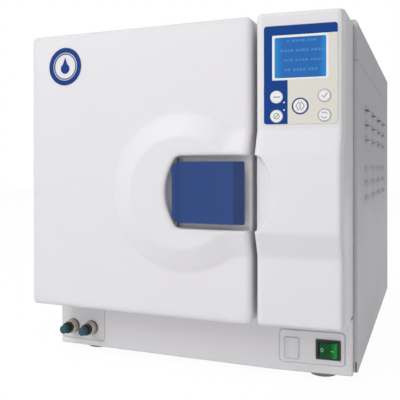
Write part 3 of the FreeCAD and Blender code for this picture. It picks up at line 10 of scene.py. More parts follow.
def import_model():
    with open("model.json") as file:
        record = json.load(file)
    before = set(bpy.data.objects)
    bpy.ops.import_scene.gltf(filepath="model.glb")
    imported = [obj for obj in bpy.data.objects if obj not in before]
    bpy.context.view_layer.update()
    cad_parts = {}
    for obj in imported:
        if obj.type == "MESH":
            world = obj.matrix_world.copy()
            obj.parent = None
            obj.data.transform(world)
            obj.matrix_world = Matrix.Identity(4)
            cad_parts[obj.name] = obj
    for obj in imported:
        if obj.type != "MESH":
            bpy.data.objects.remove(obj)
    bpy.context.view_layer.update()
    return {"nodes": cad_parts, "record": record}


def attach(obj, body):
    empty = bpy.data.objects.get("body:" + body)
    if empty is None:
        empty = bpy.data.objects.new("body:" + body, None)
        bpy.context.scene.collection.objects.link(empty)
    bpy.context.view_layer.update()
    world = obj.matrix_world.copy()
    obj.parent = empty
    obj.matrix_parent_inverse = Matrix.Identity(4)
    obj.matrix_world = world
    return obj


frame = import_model()

MM = 0.001

# Sizes repeated from the part's source, in millimetres
FACE = -327.993
COLUMN_LEFT = 112.5
FACE_TURN = 5.0
FRAME_FRONT = FACE + 68.0
REAR_FACE = 326.993 + 1.2
OVERLAY_PROUD = 0.8
KEY_PROUD = 1.6
KEY_GAP = 0.45
SCREEN = (22.9, 83.9, 385.0, 433.5)
KEYS = {
    "key_upper_left": (25.2, 362.5, 7.5),
    "key_lower_left": (25.2, 339.5, 7.5),
    "key_start": (53.4, 351.0, 8.2),
    "key_upper_right": (81.6, 362.5, 7.5),
    "key_lower_right": (81.6, 339.5, 7.5),
}
BEZEL_LEFT = 59.2
BEZEL_WIDTH = 31.5
BEZEL_PROUD = 2.0
SWITCH_HEIGHT = 43.5
ROCKER_PIVOT_DEPTH = 4.0
ROCKER_END_DEPTH = 8.5
ROCKER_HOLLOW = 2.2
ROCKER_REACH = 13.2
ROCKER_TILT = -10.0
ROCKER_X = COLUMN_LEFT + BEZEL_LEFT + BEZEL_WIDTH / 2
ROCKER_Y = FRAME_FRONT - BEZEL_PROUD + ROCKER_PIVOT_DEPTH
DRAIN_BARREL_LENGTH = 12.0
DRAIN_SEAT_RING = 2.5

# Print and paint
FILM = 0.12
PRINT_LEFT = 9.9
PRINT_RIGHT = 96.9
PRINT_BOTTOM = 330.0
PRINT_TOP = 448.0
PRINT_CORNER = 3.5
BLUE_COLUMN_RIGHT = 38.5
BLUE_COLUMN_TOP = 382.4
BLUE_NECK_RIGHT = 19.9
BLUE_HEADER_BOTTOM = 436.4
FINE_LINE = 0.8
BOLD_LINE = 0.9
BADGE = (-161.9, 418.3)

# The photo's camera, fitted to the object's edges: lengths in pixels, angles in degrees
PHOTO_WIDTH = 400.0
FOCAL_LENGTH = 580.4
HORIZON_SHIFT = -32.6
CAMERA_PLACE = (0.3086, FACE * MM - 0.6807, 0.2782)
CAMERA_YAW = 21.585
CAMERA_ROLL = -0.05
SENSOR = 36.0


# Colours

def tone(text):
    """Linear colour from a web colour."""
    values = [int(text[i:i + 2], 16) / 255 for i in (0, 2, 4)]
    return [v / 12.92 if v <= 0.04045 else ((v + 0.055) / 1.055) ** 2.4 for v in values] + [1.0]


def scaled(colour, share):
    return [min(1.0, v * share) for v in colour[:3]] + [1.0]


# Materials

class Nodes:
    """A material's node tree with short calls for the nodes used here."""

    def __init__(self, name):
        self.material = bpy.data.materials.new(name)
        self.material.use_nodes = True
        self.tree = self.material.node_tree
        self.shader = self.tree.nodes["Principled BSDF"]
        self.place = self.add("ShaderNodeTexCoord").outputs["Object"]

    def add(self, kind, **settings):
        node = self.tree.nodes.new(kind)
        for key, value in settings.items():
            setattr(node, key, value)
        return node

    def link(self, a, b):
        self.tree.links.new(a, b)

    def mapped(self, scale, turn=(0, 0, 0)):
        node = self.add("ShaderNodeMapping")
        node.inputs["Scale"].default_value = scale
        node.inputs["Rotation"].default_value = turn
        self.link(self.place, node.inputs["Vector"])
        return node.outputs["Vector"]

    def noise(self, scale, detail=3.0, rough=0.55, stretch=(1, 1, 1)):
        node = self.add("ShaderNodeTexNoise")
        node.inputs["Scale"].default_value = scale
        node.inputs["Detail"].default_value = detail
        node.inputs["Roughness"].default_value = rough
        self.link(self.mapped(stretch), node.inputs["Vector"])
        return node.outputs["Fac"]

    def ramp(self, value, low, high, out_low, out_high):
        node = self.add("ShaderNodeMapRange", clamp=True)
        node.inputs["From Min"].default_value = low
        node.inputs["From Max"].default_value = high
        node.inputs["To Min"].default_value = out_low
        node.inputs["To Max"].default_value = out_high
        self.link(value, node.inputs["Value"])
        return node.outputs["Result"]

    def mix(self, share, a, b):
        """Colour a where share is 0 and b where it is 1. Each may be a colour or a socket."""
        node = self.add("ShaderNodeMix", data_type="RGBA")
        self.link(share, node.inputs["Factor"])
        for name, value in (("A", a), ("B", b)):
            socket = [s for s in node.inputs if s.name == name and s.type == "RGBA"][0]
            if isinstance(value, list):
                socket.default_value = value
            else:
                self.link(value, socket)
        return [s for s in node.outputs if s.type == "RGBA"][0]

    def axis(self, name):
        node = self.add("ShaderNodeSeparateXYZ")
        self.link(self.place, node.inputs["Vector"])
        return node.outputs[name]

    def maths(self, operation, a, b):
        node = self.add("ShaderNodeMath", operation=operation)
        for socket, value in zip(node.inputs, (a, b)):
            if isinstance(value, float):
                socket.default_value = value
            else:
                self.link(value, socket)
        return node.outputs["Value"]

    def paint(self, colour):
        self.link(colour, self.shader.inputs["Base Color"])

    def paint_over(self, share, colour):
        """Another colour over the present one, where share is above 0."""
        base = self.shader.inputs["Base Color"].links[0].from_socket
        self.paint(self.mix(share, base, colour))

    def shine(self, colour, strength):
        self.link(colour, self.shader.inputs["Emission Color"])
        self.shader.inputs["Emission Strength"].default_value = strength

    def roughen(self, pattern, low, high):
        self.link(self.ramp(pattern, 0.3, 0.7, low, high), self.shader.inputs["Roughness"])

    def bump(self, height, strength, distance, edge=0.0):
        """Fine relief, over edges that the shading rounds by a radius where one is given."""
        node = self.add("ShaderNodeBump")
        if edge:
            bevel = self.add("ShaderNodeBevel", samples=8)
            bevel.inputs["Radius"].default_value = edge
            self.link(bevel.outputs["Normal"], node.inputs["Normal"])
        node.inputs["Strength"].default_value = strength
        node.inputs["Distance"].default_value = distance
        self.link(height, node.inputs["Height"])
        self.link(node.outputs["Normal"], self.shader.inputs["Normal"])


def finish_material(name, colour, rough, spread=0.04, mottle=12.0, grain=900.0, depth=0.00004,
                    strength=0.25, rough_spread=0.06, spec=0.5, edge=0.0):
    """Surface with slow colour drift, finer roughness drift and a fine bump."""
    n = Nodes(name)
    drift = n.noise(mottle, 4.0)
    n.paint(n.mix(drift, scaled(colour, 1 - spread), scaled(colour, 1 + spread)))
    n.roughen(n.noise(mottle * 3, 3.0), rough - rough_spread, rough + rough_spread)
    n.bump(n.noise(grain, 2.0, 0.5), strength, depth, edge)
    n.shader.inputs["IOR"].default_value = 1.46
    n.shader.inputs["Specular IOR Level"].default_value = spec
    return n


def plain(name, colour, rough, **options):
    return finish_material(name, colour, rough, **options).material


def moulded_white(name, colour, edge):
    """Painted moulding: satin gloss with a faint orange peel, its edges eased by a radius."""
    n = finish_material(name, colour, 0.38, spread=0.012, mottle=5.0, grain=420.0, depth=0.00003,
                        strength=0.12, rough_spread=0.05, spec=0.35, edge=edge)
    n.shader.inputs["Subsurface Weight"].default_value = 0.35
    n.shader.inputs["Subsurface Radius"].default_value = (1.0, 1.0, 1.0)
    n.shader.inputs["Subsurface Scale"].default_value = 0.006
    return n.material


def handle_paint_with_shade(name, colour):
    """Dark blue moulding, with painted shade on the bevel at its free edge and just inside its rolled left
    edge.
    """
    n = finish_material(name, colour, 0.42, spread=0.05, mottle=7.0, grain=700.0, depth=0.00003,
                        strength=0.15, spec=0.22)
    # Painted shade: the paint is darkened by position on the free edge's bevel and in a band inside the left
    # roll, for the shade those faces get.
    across = n.axis("X")
    bevel = n.ramp(across, 0.0865, 0.0885, 0.0, 0.6)
    roll_shade_start = n.ramp(across, 0.008, 0.011, 0.0, 0.35)
    roll_shade_end = n.ramp(across, 0.015, 0.019, 1.0, 0.0)
    roll = n.maths("MULTIPLY", roll_shade_start, roll_shade_end)
    n.paint_over(n.maths("MAXIMUM", bevel, roll), scaled(colour, 0.5))
    return n.material


def powder_coat_with_fold_shade(name, colour):
    """Powder coat: low gloss with a fine even pebble, with painted shade where the louvres fold inwards."""
    n = finish_material(name, colour, 0.46, spread=0.02, mottle=4.0, grain=1500.0, depth=0.00006,
                        strength=0.3, rough_spread=0.05)
    # Painted shade: ambient occlusion darkens the paint to near black in the louvres' folds and openings.
    fold_shade = n.add("ShaderNodeAmbientOcclusion", samples=6)
    fold_shade.inputs["Distance"].default_value = 0.007
    n.paint_over(n.ramp(fold_shade.outputs["AO"], 0.02, 0.25, 0.9, 0.0), tone("2C2D30"))
    return n.material


def brushed(name, colour, rough, stretch, heat=None):
    """Brushed or rolled metal with long fine lines, and stains where a heat colour is given."""
    n = Nodes(name)
    lines = n.noise(70.0, 6.0, 0.7, stretch)
    n.paint(n.mix(lines, scaled(colour, 0.9), scaled(colour, 1.08)))
    if heat:
        n.paint_over(n.ramp(n.noise(9.0, 4.0), 0.5, 0.75, 0.0, 0.5), heat)
    n.roughen(lines, rough - 0.07, rough + 0.09)
    n.bump(lines, 0.12, 0.00003)
    n.shader.inputs["Metallic"].default_value = 1.0
    return n.material


def felt(name, colour):
    """Matted fibre."""
    n = Nodes(name)
    fibre = n.noise(520.0, 8.0, 0.8, (1, 1, 0.4))
    n.paint(n.mix(fibre, scaled(colour, 0.72), scaled(colour, 1.12)))
    n.roughen(fibre, 0.82, 0.97)
    n.bump(fibre, 0.7, 0.0006)
    n.shader.inputs["Sheen Weight"].default_value = 0.3
    return n.material


def display_lens(name):
    """Backlit blue display, brighter towards its left and right edges."""
    n = Nodes(name)
    across = n.axis("X")
    left, right = [(COLUMN_LEFT + u * math.cos(math.radians(FACE_TURN))) * MM for u in SCREEN[:2]]
    near_left = n.ramp(across, left, left + 0.012, 1.0, 0.0)
    near_right = n.ramp(across, right - 0.010, right, 0.0, 1.0)
    glow = n.maths("MAXIMUM", n.maths("POWER", near_left, 1.6), n.maths("POWER", near_right, 1.6))
    cells = n.ramp(n.noise(600.0, 2.0), 0.4, 0.6, 0.0, 0.12)
    body = n.mix(cells, tone("2566AE"), tone("215CA2"))
    colour = n.mix(glow, body, tone("2789CB"))
    n.paint(colour)
    n.shine(colour, 0.1)
    n.roughen(n.noise(40.0), 0.34, 0.42)
    n.bump(n.noise(300.0), 0.03, 0.00002)
    n.shader.inputs["Specular IOR Level"].default_value = 0.15
    return n.material


def drain_metal(name):
    """Turned metal barrel with fine tool rings, black on the stepped nose and the panel ring."""
    n = Nodes(name)
    depth = n.axis("Y")
    seat = FRAME_FRONT * MM
    barrel_end = seat - DRAIN_BARREL_LENGTH * MM
    ring_front = seat - DRAIN_SEAT_RING * MM
    sharp = 0.00002
    nose = n.ramp(depth, barrel_end - sharp, barrel_end + sharp, 1.0, 0.0)
    ring = n.ramp(depth, ring_front - sharp, ring_front + sharp, 0.0, 1.0)
    behind = n.ramp(depth, seat, seat + 0.0001, 1.0, 0.0)
    dark = n.maths("MAXIMUM", nose, n.maths("MULTIPLY", ring, behind))
    rings = n.add("ShaderNodeTexWave", wave_type="BANDS", bands_direction="Y")
    rings.inputs["Scale"].default_value = 260.0
    rings.inputs["Distortion"].default_value = 0.4
    n.link(n.place, rings.inputs["Vector"])
    metal = n.mix(rings.outputs["Fac"], tone("B5A9A0"), tone("D2CAC2"))
    n.paint(n.mix(dark, metal, tone("171A1C")))
    n.link(n.ramp(dark, 0.0, 1.0, 0.85, 0.0), n.shader.inputs["Metallic"])
    n.roughen(n.noise(200.0), 0.3, 0.42)
    n.bump(rings.outputs["Fac"], 0.3, 0.0002)
    return n.material


def rocker_plastic(name):
    """Clear green rocker, glowing at its raised end."""
    n = Nodes(name)
    start = (ROCKER_X + 1.0) * MM
    lit = n.ramp(n.axis("X"), start, start + 0.009, 0.0, 1.0)
    body = n.mix(n.noise(60.0), tone("02441A"), tone("055223"))
    colour = n.mix(n.maths("POWER", lit, 2.0), body, tone("179A45"))
    n.paint(colour)
    n.shine(colour, 0.12)
    n.roughen(n.noise(90.0), 0.16, 0.28)
    n.bump(n.noise(700.0), 0.05, 0.00002)
    n.shader.inputs["Specular IOR Level"].default_value = 0.15
    return n.material


def circuit_board(name):
    """Green board with a fine track pattern."""
    n = Nodes(name)
    tracks = n.add("ShaderNodeTexBrick")
    tracks.inputs["Scale"].default_value = 90.0
    tracks.inputs["Mortar Size"].default_value = 0.03
    tracks.inputs["Color1"].default_value = tone("1B5A38")
    tracks.inputs["Color2"].default_value = tone("20663F")
    tracks.inputs["Mortar"].default_value = tone("2E7C50")
    n.link(n.mapped((1, 1, 1), (math.pi / 2, 0, 0)), tracks.inputs["Vector"])
    n.paint(tracks.outputs["Color"])
    n.roughen(n.noise(120.0), 0.3, 0.45)
    n.bump(tracks.outputs["Fac"], 0.2, 0.0001)
    return n.material


def film(name, colour, rough=0.5, spread=0.03, grain=2200.0, **options):
    """Printed or painted film, nearly even in colour."""
    return plain(name, colour, rough, spread=spread, grain=grain, depth=0.00002, **options)


WHITE = tone("E8E6E9")
FINISHES = {
    "white_plastic": moulded_white("m_white_plastic", WHITE, 0.003),
    "side_paint": powder_coat_with_fold_shade("m_side_paint", tone("C4C2C5")),
    "handle_blue": handle_paint_with_shade("m_handle_blue", tone("2B467F")),
    "overlay_film": film("m_overlay_film", tone("DFDCD3"), 0.55, 0.012, 2400.0, strength=0.2, spec=0.25),
    "display_glass": display_lens("m_display_lens"),
    "key_film": film("m_key_film", tone("EDEDEE"), 0.42, 0.01, 1600.0),
    "black_plastic": plain("m_black_plastic", tone("191A1C"), 0.45, spread=0.1, grain=1300.0,
                           depth=0.00006, strength=0.3),
    "rocker_green": rocker_plastic("m_rocker_green"),
    "drain_metal": drain_metal("m_drain_metal"),
    "cap_plastic": plain("m_cap_plastic", tone("21505B"), 0.42, spread=0.08, grain=1200.0, depth=0.00005),
    "foot_rubber": plain("m_foot_rubber", tone("A5A5A6"), 0.7, spread=0.05, mottle=30.0, grain=900.0,
                         depth=0.0001, strength=0.35, spec=0.3),
    "gasket_rubber": plain("m_gasket_rubber", tone("C9C4BA"), 0.62, spread=0.06, mottle=30.0, grain=800.0,
                           depth=0.00008, spec=0.3),
    "chamber_steel": brushed("m_chamber_steel", tone("C9CACC"), 0.3, (1, 0.06, 1)),
    "heater_steel": brushed("m_heater_steel", tone("8E8B86"), 0.45, (0.1, 1, 1), tone("7A6248")),
    "jacket_felt": felt("m_jacket_felt", tone("B9B4A6")),
    "tray_steel": brushed("m_tray_steel", tone("D2D3D5"), 0.32, (1, 0.05, 1)),
    "zinc_sheet": brushed("m_zinc_sheet", tone("A7ABAE"), 0.42, (0.3, 0.3, 1)),
    "tank_plastic": plain("m_tank_plastic", tone("DADDE0"), 0.5, spread=0.03, grain=500.0, depth=0.00008),
    "lid_plastic": plain("m_lid_plastic", tone("8C8B8E"), 0.48, spread=0.05, grain=1100.0, depth=0.00008),
    "bolt_steel": brushed("m_bolt_steel", tone("BCBEC0"), 0.25, (1, 1, 0.2)),
    "brass": brushed("m_brass", tone("B8964A"), 0.3, (1, 0.2, 1)),
    "pump_metal": plain("m_pump_metal", tone("4C4F53"), 0.5, spread=0.1, grain=900.0, depth=0.00008),
    "board_green": circuit_board("m_board_green"),
}

# Two pieces that differ from the rest of their slot: the door's wide eased edges, the handle's dark pin
OWN_FINISHES = {
    "door_cover": moulded_white("m_door_white", WHITE, 0.010),
    "handle_shaft": brushed("m_pin_steel", tone("6E7073"), 0.5, (1, 1, 0.2)),
}

BLUE_FILM = film("m_blue_film", tone("0B3F8A"), strength=0.2, spec=0.15)
WHITE_FILM = film("m_white_film", tone("EDEEEF"), 0.45, 0.01)
GREY_FILM = film("m_grey_film", tone("747A88"))
RING_BLUE = film("m_ring_blue", tone("1E3F7E"), spec=0.15)
BADGE_BLUE = film("m_badge_blue", tone("0C3A80"), 0.42, grain=1500.0, spec=0.2)
SCREEN_MARK = film("m_screen_mark", tone("3A80C6"), 0.4, 0.05, 1500.0)
MARK_PAINT = film("m_mark_paint", tone("BFE0C8"), grain=1500.0)
SCREW_STEEL = brushed("m_screw_steel", tone("B9BABC"), 0.3, (1, 1, 1))
# Painted shade: a near-black film that stands in for the shade inside the screws' cross recesses.
SLOT_SHADE = plain("m_slot_shade", tone("1C1D1F"), 0.6, spread=0.1, depth=0.00006, spec=0.3)

for row in frame["record"]["subparts"]:
    node = frame["nodes"][row["node"]]
    node.data.materials.clear()
    node.data.materials.append(OWN_FINISHES.get(row["node"], FINISHES[row["material_slot"]]))


# Frames that thin pieces are drawn in: two lengths along a face and one out of it, in millimetres

def on_panel(u, v, out):
    """The control column's turned face, u from its left edge and v the height."""
    turn = math.radians(FACE_TURN)
    x = COLUMN_LEFT + u * math.cos(turn) + out * math.sin(turn)
    y = FACE + u * math.sin(turn) - out * math.cos(turn)
    return Vector((x, y, v)) * MM


def on_door(u, v, out):
    return Vector((u, FACE - out, v)) * MM


def on_rear(u, v, out):
    return Vector((u, REAR_FACE + out, v)) * MM


def on_rocker(side):
    """One of the rocker's two front facets, left (-1) or right (1), u from the middle of the switch."""
    tilt = Matrix.Rotation(math.radians(ROCKER_TILT), 4, "Z")
    swing = Matrix.Rotation(math.radians(FACE_TURN), 4, "Z")
    middle = Vector((ROCKER_X, ROCKER_Y, 0))
    corner = Vector((COLUMN_LEFT, FRAME_FRONT, 0))
    slope = ROCKER_HOLLOW / ROCKER_REACH

    def place(u, v, out):
        local = Vector((u, -ROCKER_END_DEPTH + ROCKER_HOLLOW - side * u * slope - out, 0))
        point = corner + swing @ (middle + tilt @ local - corner)
        return Vector((point.x, point.y, v)) * MM

    return place


# Outlines

def disc(u, v, radius, steps=48):
    angles = [2 * math.pi * i / steps for i in range(steps)]
    return [(u + radius * math.cos(a), v + radius * math.sin(a)) for a in angles]


def rounded(u0, u1, v0, v1, radii, steps=8):
    """Rectangle with its own corner radii: lower left, lower right, upper right, upper left."""
    corners = ((u0, v0, 180), (u1, v0, 270), (u1, v1, 0), (u0, v1, 90))
    inward = ((1, 1), (-1, 1), (-1, -1), (1, -1))
    points = []
    for (u, v, start), (su, sv), radius in zip(corners, inward, radii):
        if radius <= 0:
            points.append((u, v))
            continue
        for i in range(steps + 1):
            angle = math.radians(start + 90 * i / steps)
            points.append((u + su * radius + radius * math.cos(angle),
                           v + sv * radius + radius * math.sin(angle)))
    return points


def stroke(points, width, closed=False):
    """Band of a width along a line of points, as outlines for prism(): one, or two for a closed line."""
    count = len(points)
    left = []
    right = []
    for i, (u, v) in enumerate(points):
        before = points[(i - 1) % count] if closed or i > 0 else points[i]
        after = points[(i + 1) % count] if closed or i < count - 1 else points[i]
        direction = Vector((after[0] - before[0], after[1] - before[1])).normalized()
        normal = Vector((-direction.y, direction.x)) * width / 2
        left.append((u + normal.x, v + normal.y))
        right.append((u - normal.x, v - normal.y))
    if closed:
        return [left, right]
    return [left + right[::-1]]


# Solids

def add_piece(name, bm, material, body, smooth_quads=False):
    bmesh.ops.recalc_face_normals(bm, faces=bm.faces)
    mesh = bpy.data.meshes.new(name)
    bm.to_mesh(mesh)
    bm.free()
    for face in mesh.polygons:
        face.use_smooth = smooth_quads and len(face.vertices) == 4
    mesh.materials.append(material)
    piece = bpy.data.objects.new(name, mesh)
    bpy.context.scene.collection.objects.link(piece)
    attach(piece, body)


def prism(name, loops, place, low, high, material, body):
    """Thin solid between two levels over a face, from an outer outline and its holes."""
    bm = bmesh.new()
    outlines = [[Vector((u, v, 0)) for u, v in loop] for loop in loops]
    flat = [point for outline in outlines for point in outline]
    tops = [bm.verts.new(place(p.x, p.y, high)) for p in flat]
    feet = [bm.verts.new(place(p.x, p.y, low)) for p in flat]
    for a, b, c in tessellate_polygon(outlines):
        bm.faces.new((tops[a], tops[b], tops[c]))
        bm.faces.new((feet[c], feet[b], feet[a]))
    start = 0
    for loop in loops:
        count = len(loop)
        for i in range(count):
            a = start + i
            b = start + (i + 1) % count
            bm.faces.new((tops[a], feet[a], feet[b], tops[b]))
        start += count
    add_piece(name, bm, material, body)


def turned(name, profile, middle, axis, material, body, steps=24):
    """Turned solid from (radius, length) points, about an axis through its middle, in millimetres."""
    bm = bmesh.new()
    spin = Vector((0, 0, 1)).rotation_difference(Vector(axis)).to_matrix()
    rings = []
    for radius, length in profile:
        ring = []
        for i in range(steps):
            angle = 2 * math.pi * i / steps
            local = Vector((radius * math.cos(angle), radius * math.sin(angle), length))
            ring.append(bm.verts.new((Vector(middle) + spin @ local) * MM))
        rings.append(ring)
    for lower, upper in zip(rings, rings[1:]):
        for i in range(steps):
            j = (i + 1) % steps
            bm.faces.new((lower[i], lower[j], upper[j], upper[i]))
    bm.faces.new(rings[0][::-1])
    bm.faces.new(rings[-1])
    add_piece(name, bm, material, body, smooth_quads=True)


# Control panel print

def panel_print(name, loops, material, height=1.0, base=0.0):
    """Print on the panel overlay, its height and base counted in films."""
    low = OVERLAY_PROUD + FILM * base
    prism(name, loops, on_panel, low, OVERLAY_PROUD + FILM * height, material, "housing")


def key_mark(name, loops, key):
    prism(name, loops, on_panel, KEY_PROUD, KEY_PROUD + FILM, GREY_FILM, key + "_body")


key_holes = {name: disc(u, v, radius + KEY_GAP, 40) for name, (u, v, radius) in KEYS.items()}
blue_column = rounded(PRINT_LEFT, BLUE_COLUMN_RIGHT, PRINT_BOTTOM, BLUE_COLUMN_TOP, (PRINT_CORNER, 0, 0, 0))
blue_header = rounded(PRINT_LEFT, PRINT_RIGHT, BLUE_HEADER_BOTTOM, PRINT_TOP,
                      (0, 0, PRINT_CORNER, PRINT_CORNER))
blue_outline = (blue_column[:-2]
                + [(BLUE_COLUMN_RIGHT, BLUE_COLUMN_TOP), (BLUE_NECK_RIGHT, BLUE_COLUMN_TOP),
                   (BLUE_NECK_RIGHT, BLUE_HEADER_BOTTOM), (PRINT_RIGHT, BLUE_HEADER_BOTTOM)]
                + blue_header[2:])
panel_print("panel_blue_print", [blue_outline, key_holes["key_upper_left"], key_holes["key_lower_left"]],
            BLUE_FILM)
panel_print("screen_border", [rounded(20.2, 86.6, 382.8, 436.1, (3.6, 3.6, 3.6, 3.6)),
                              rounded(*SCREEN, (2, 2, 2, 2))], WHITE_FILM, 1.6)

# Rows of plain blocks where a display shows its lines: height, then start and end
ROWS = ((429.0, (38.0, 70.0)), (417.5, (30.0, 79.0)), (406.0, (34.0, 79.0)), (394.5, (35.0, 71.0)))
for r, (v, (start, end)) in enumerate(ROWS):
    u = start
    i = 0
    while u < end:
        width = (2.2, 3.4, 2.8)[(i + r) % 3]
        tall = (2.6, 3.2)[(i * 2 + r) % 2]
        block = rounded(u, u + width, v - tall / 2, v + tall / 2, (0.5,) * 4, 3)
        panel_print("screen_row_%d_%d" % (r, i), [block], SCREEN_MARK, 0.3)
        u += width + (1.1 if (i + r) % 4 else 3.4)
        i += 1

for i, v in enumerate((355.9, 346.7)):
    panel_print("panel_lamp_%d" % i, [disc(34.2, v, 0.95, 20)], WHITE_FILM, 3, 1)
for name in ("key_upper_right", "key_lower_right"):
    u, v, radius = KEYS[name]
    key_mark(name + "_ring", [disc(u, v, radius - 0.6), disc(u, v, radius - 1.05)], name)
u, v, radius = KEYS["key_start"]
panel_print("start_key_ring", [disc(u, v, 10.0, 56), disc(u, v, radius + KEY_GAP, 56)], RING_BLUE)

# Key symbols
u, v, radius = KEYS["key_upper_left"]
key_mark("symbol_bar", stroke([(u - 4.2, v), (u + 4.2, v)], 1.1), "key_upper_left")
u, v, radius = KEYS["key_lower_left"]
key_mark("symbol_ring", stroke(disc(u, v, 3.3, 36), FINE_LINE, True), "key_lower_left")
key_mark("symbol_ring_cross", stroke([(u - 1.9, v - 1.9), (u + 1.9, v + 1.9)], FINE_LINE), "key_lower_left")
u, v, radius = KEYS["key_start"]
for side in (-1, 1):
    chevron = [(u + side * 1.4, v + 5.2), (u + side * 5.0, v), (u + side * 1.4, v - 5.2)]
    key_mark("start_chevron_" + ("left" if side < 0 else "right"), stroke(chevron, BOLD_LINE), "key_start")
key_mark("start_bar", stroke([(u, v - 4.6), (u, v + 4.6)], BOLD_LINE), "key_start")
u, v, radius = KEYS["key_upper_right"]
tick = [(u - 2.8, v + 0.4), (u - 0.8, v - 2.4), (u + 3.4, v + 3.0)]
key_mark("symbol_tick", stroke(tick, BOLD_LINE), "key_upper_right")
u, v, radius = KEYS["key_lower_right"]
for side in (0, 180):
    angles = [math.radians(side + 20 + 130 * i / 12) for i in range(13)]
    arc = [(u + 3.4 * math.cos(a), v + 3.4 * math.sin(a)) for a in angles]
    key_mark("symbol_turn_%d" % side, stroke(arc, FINE_LINE), "key_lower_right")

# Rocker marks: a ring for off on the left, a bar for on at the right
off_angles = [a * math.pi / 12 for a in range(24)]
off_ring = [(-6.6 + 1.5 * math.cos(a), SWITCH_HEIGHT + 0.1 + 2.2 * math.sin(a)) for a in off_angles]
on_bar = [(4.6, SWITCH_HEIGHT - 0.3), (8.4, SWITCH_HEIGHT - 0.3)]
prism("rocker_off_mark", stroke(off_ring, 0.55, True), on_rocker(-1), 0, 0.1, MARK_PAINT, "rocker")
prism("rocker_on_mark", stroke(on_bar, 0.7), on_rocker(1), 0, 0.1, MARK_PAINT, "rocker")

# Plain roundel on the door's upper corner
drop_angles = [math.radians(-240 + 300 * i / 48) for i in range(49)]
drop = [(BADGE[0] + 7.0 * math.cos(a), BADGE[1] - 3.0 + 7.0 * math.sin(a)) for a in drop_angles]
drop.append((BADGE[0], BADGE[1] + 12.5))
ROUNDEL = (
    ("roundel_ring", [disc(*BADGE, 26.0, 96), disc(*BADGE, 19.4, 96)], 0.5),
    ("roundel_line", [disc(*BADGE, 18.0, 96), disc(*BADGE, 16.7, 96)], 0.4),
    ("roundel_drop", [drop], 0.4),
)
for name, loops, proud in ROUNDEL:
    prism(name, loops, on_door, 0, proud, BADGE_BLUE, "door")

# Cross-head screws round the rear panel, and two smaller ones in the mains inlet's flange
PANEL_SCREW = {"size": 3.4, "rise": 0.0}
INLET_SCREW = {"size": 1.9, "rise": 3.0}
HEAD_PROFILE = ((1.0, 0.0), (0.96, 0.9), (0.7, 1.5), (0.3, 1.7))
CROSS_LEVELS = (1.62, 1.74)
SCREWS = [(x, z, PANEL_SCREW) for x in (-208.0, 208.0) for z in (40.0, 180.0, 320.0, 445.0)]
SCREWS += [(x, 455.0, PANEL_SCREW) for x in (-110.0, 0.0, 110.0)]
SCREWS += [(x, 60.0, INLET_SCREW) for x in (40.0, 80.0)]
for i, (x, z, screw) in enumerate(SCREWS):
    size = screw["size"]
    rise = screw["rise"]
    turned("rear_screw_%d" % i, [(size * share, length) for share, length in HEAD_PROFILE],
           (x, REAR_FACE + rise, z), (0, 1, 0), SCREW_STEEL, "housing")
    reach = size * 0.55
    # Each head's cross is a thin near-black slab across its top, painted shade in place of a recess.
    for k, (a, b) in enumerate(((reach, 0), (0, reach))):
        prism("rear_screw_slot_%d_%d" % (i, k), stroke([(x - a, z - b), (x + a, z + b)], 0.6), on_rear,
              rise + CROSS_LEVELS[0], rise + CROSS_LEVELS[1], SLOT_SHADE, "housing")


# Floor, lights and camera

def seen_by(tree, first, second):
    """1 for two kinds of ray and 0 for the others."""
    path = tree.nodes.new("ShaderNodeLightPath")
    seen = tree.nodes.new("ShaderNodeMath")
    seen.operation = "MAXIMUM"
    tree.links.new(path.outputs[first], seen.inputs[0])
    tree.links.new(path.outputs[second], seen.inputs[1])
    return seen.outputs[0]


def floor(size, glow_strength, glow_share):
    """Matt floor that shows itself to the camera and to gloss as white, with a small share of its shadows."""
    mesh = bpy.data.meshes.new("floor")
    corners = [(-size, -size, 0), (size, -size, 0), (size, size, 0), (-size, size, 0)]
    mesh.from_pydata(corners, [], [(0, 1, 2, 3)])
    piece = bpy.data.objects.new("floor", mesh)
    bpy.context.scene.collection.objects.link(piece)
    material = bpy.data.materials.new("m_floor")
    material.use_nodes = True
    tree = material.node_tree
    tree.nodes.clear()
    out = tree.nodes.new("ShaderNodeOutputMaterial")
    matt = tree.nodes.new("ShaderNodeBsdfDiffuse")
    matt.inputs["Color"].default_value = (0.82, 0.82, 0.82, 1)
    glow = tree.nodes.new("ShaderNodeEmission")
    glow.inputs["Strength"].default_value = glow_strength
    share = tree.nodes.new("ShaderNodeMath")
    share.operation = "MULTIPLY"
    share.inputs[1].default_value = glow_share
    tree.links.new(seen_by(tree, "Is Camera Ray", "Is Glossy Ray"), share.inputs[0])
    mix = tree.nodes.new("ShaderNodeMixShader")
    tree.links.new(share.outputs[0], mix.inputs[0])
    tree.links.new(matt.outputs[0], mix.inputs[1])
    tree.links.new(glow.outputs[0], mix.inputs[2])
    tree.links.new(mix.outputs[0], out.inputs["Surface"])
    mesh.materials.append(material)


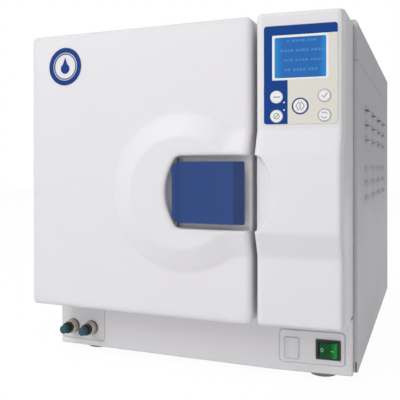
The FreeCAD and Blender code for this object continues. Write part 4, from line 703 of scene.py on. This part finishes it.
def world(ambient):
    """White to the camera, also through clear pieces, and a plain soft level to everything else."""
    scene_world = bpy.data.worlds.new("studio")
    bpy.context.scene.world = scene_world
    scene_world.use_nodes = True
    tree = scene_world.node_tree
    back = tree.nodes["Background"]
    back.inputs["Color"].default_value = (1, 1, 1, 1)
    level = tree.nodes.new("ShaderNodeMapRange")
    level.inputs["To Min"].default_value = ambient
    level.inputs["To Max"].default_value = 1.0
    tree.links.new(seen_by(tree, "Is Camera Ray", "Is Transmission Ray"), level.inputs["Value"])
    tree.links.new(level.outputs["Result"], back.inputs["Strength"])


def lamp(name, place, target, size, power, colour=(1.0, 1.0, 1.0)):
    data = bpy.data.lights.new(name, "AREA")
    data.color = colour
    data.shape = "RECTANGLE"
    data.size = size[0]
    data.size_y = size[1]
    data.energy = power
    lamp_object = bpy.data.objects.new(name, data)
    bpy.context.scene.collection.objects.link(lamp_object)
    lamp_object.location = place
    lamp_object.rotation_mode = "QUATERNION"
    lamp_object.rotation_quaternion = (Vector(target) - Vector(place)).to_track_quat("-Z", "Y")


def camera():
    data = bpy.data.cameras.new("photo_camera")
    data.sensor_width = SENSOR
    data.lens = SENSOR * FOCAL_LENGTH / PHOTO_WIDTH
    data.shift_y = HORIZON_SHIFT / PHOTO_WIDTH
    data.clip_start = 0.05
    data.clip_end = 50.0
    camera_object = bpy.data.objects.new("photo_camera", data)
    bpy.context.scene.collection.objects.link(camera_object)
    camera_object.location = CAMERA_PLACE
    yaw = Matrix.Rotation(math.radians(CAMERA_YAW), 3, "Z")
    level = Matrix.Rotation(math.radians(90.0), 3, "X")
    roll = Matrix.Rotation(math.radians(CAMERA_ROLL), 3, "Z")
    camera_object.rotation_euler = (yaw @ level @ roll).to_euler()
    bpy.context.scene.camera = camera_object


floor(6.0, 1.03, 0.93)
world(0.42)
lamp("key_light", (-1.2, -2.3, 2.0), (0, -0.2, 0.2), (2.0, 2.0), 44.0)
lamp("front_light", (0.25, -2.2, 0.15), (0.08, -0.3, 0.15), (1.0, 0.6), 6.0)
lamp("top_light", (0.0, -0.2, 2.6), (0, 0, 0.3), (2.4, 2.4), 5.0)
lamp("side_light", (1.3, 1.3, 1.3), (0.23, 0.15, 0.35), (0.4, 0.4), 3.0, (0.78, 0.87, 1.0))
camera()
bpy.context.scene.view_settings.view_transform = "Standard"
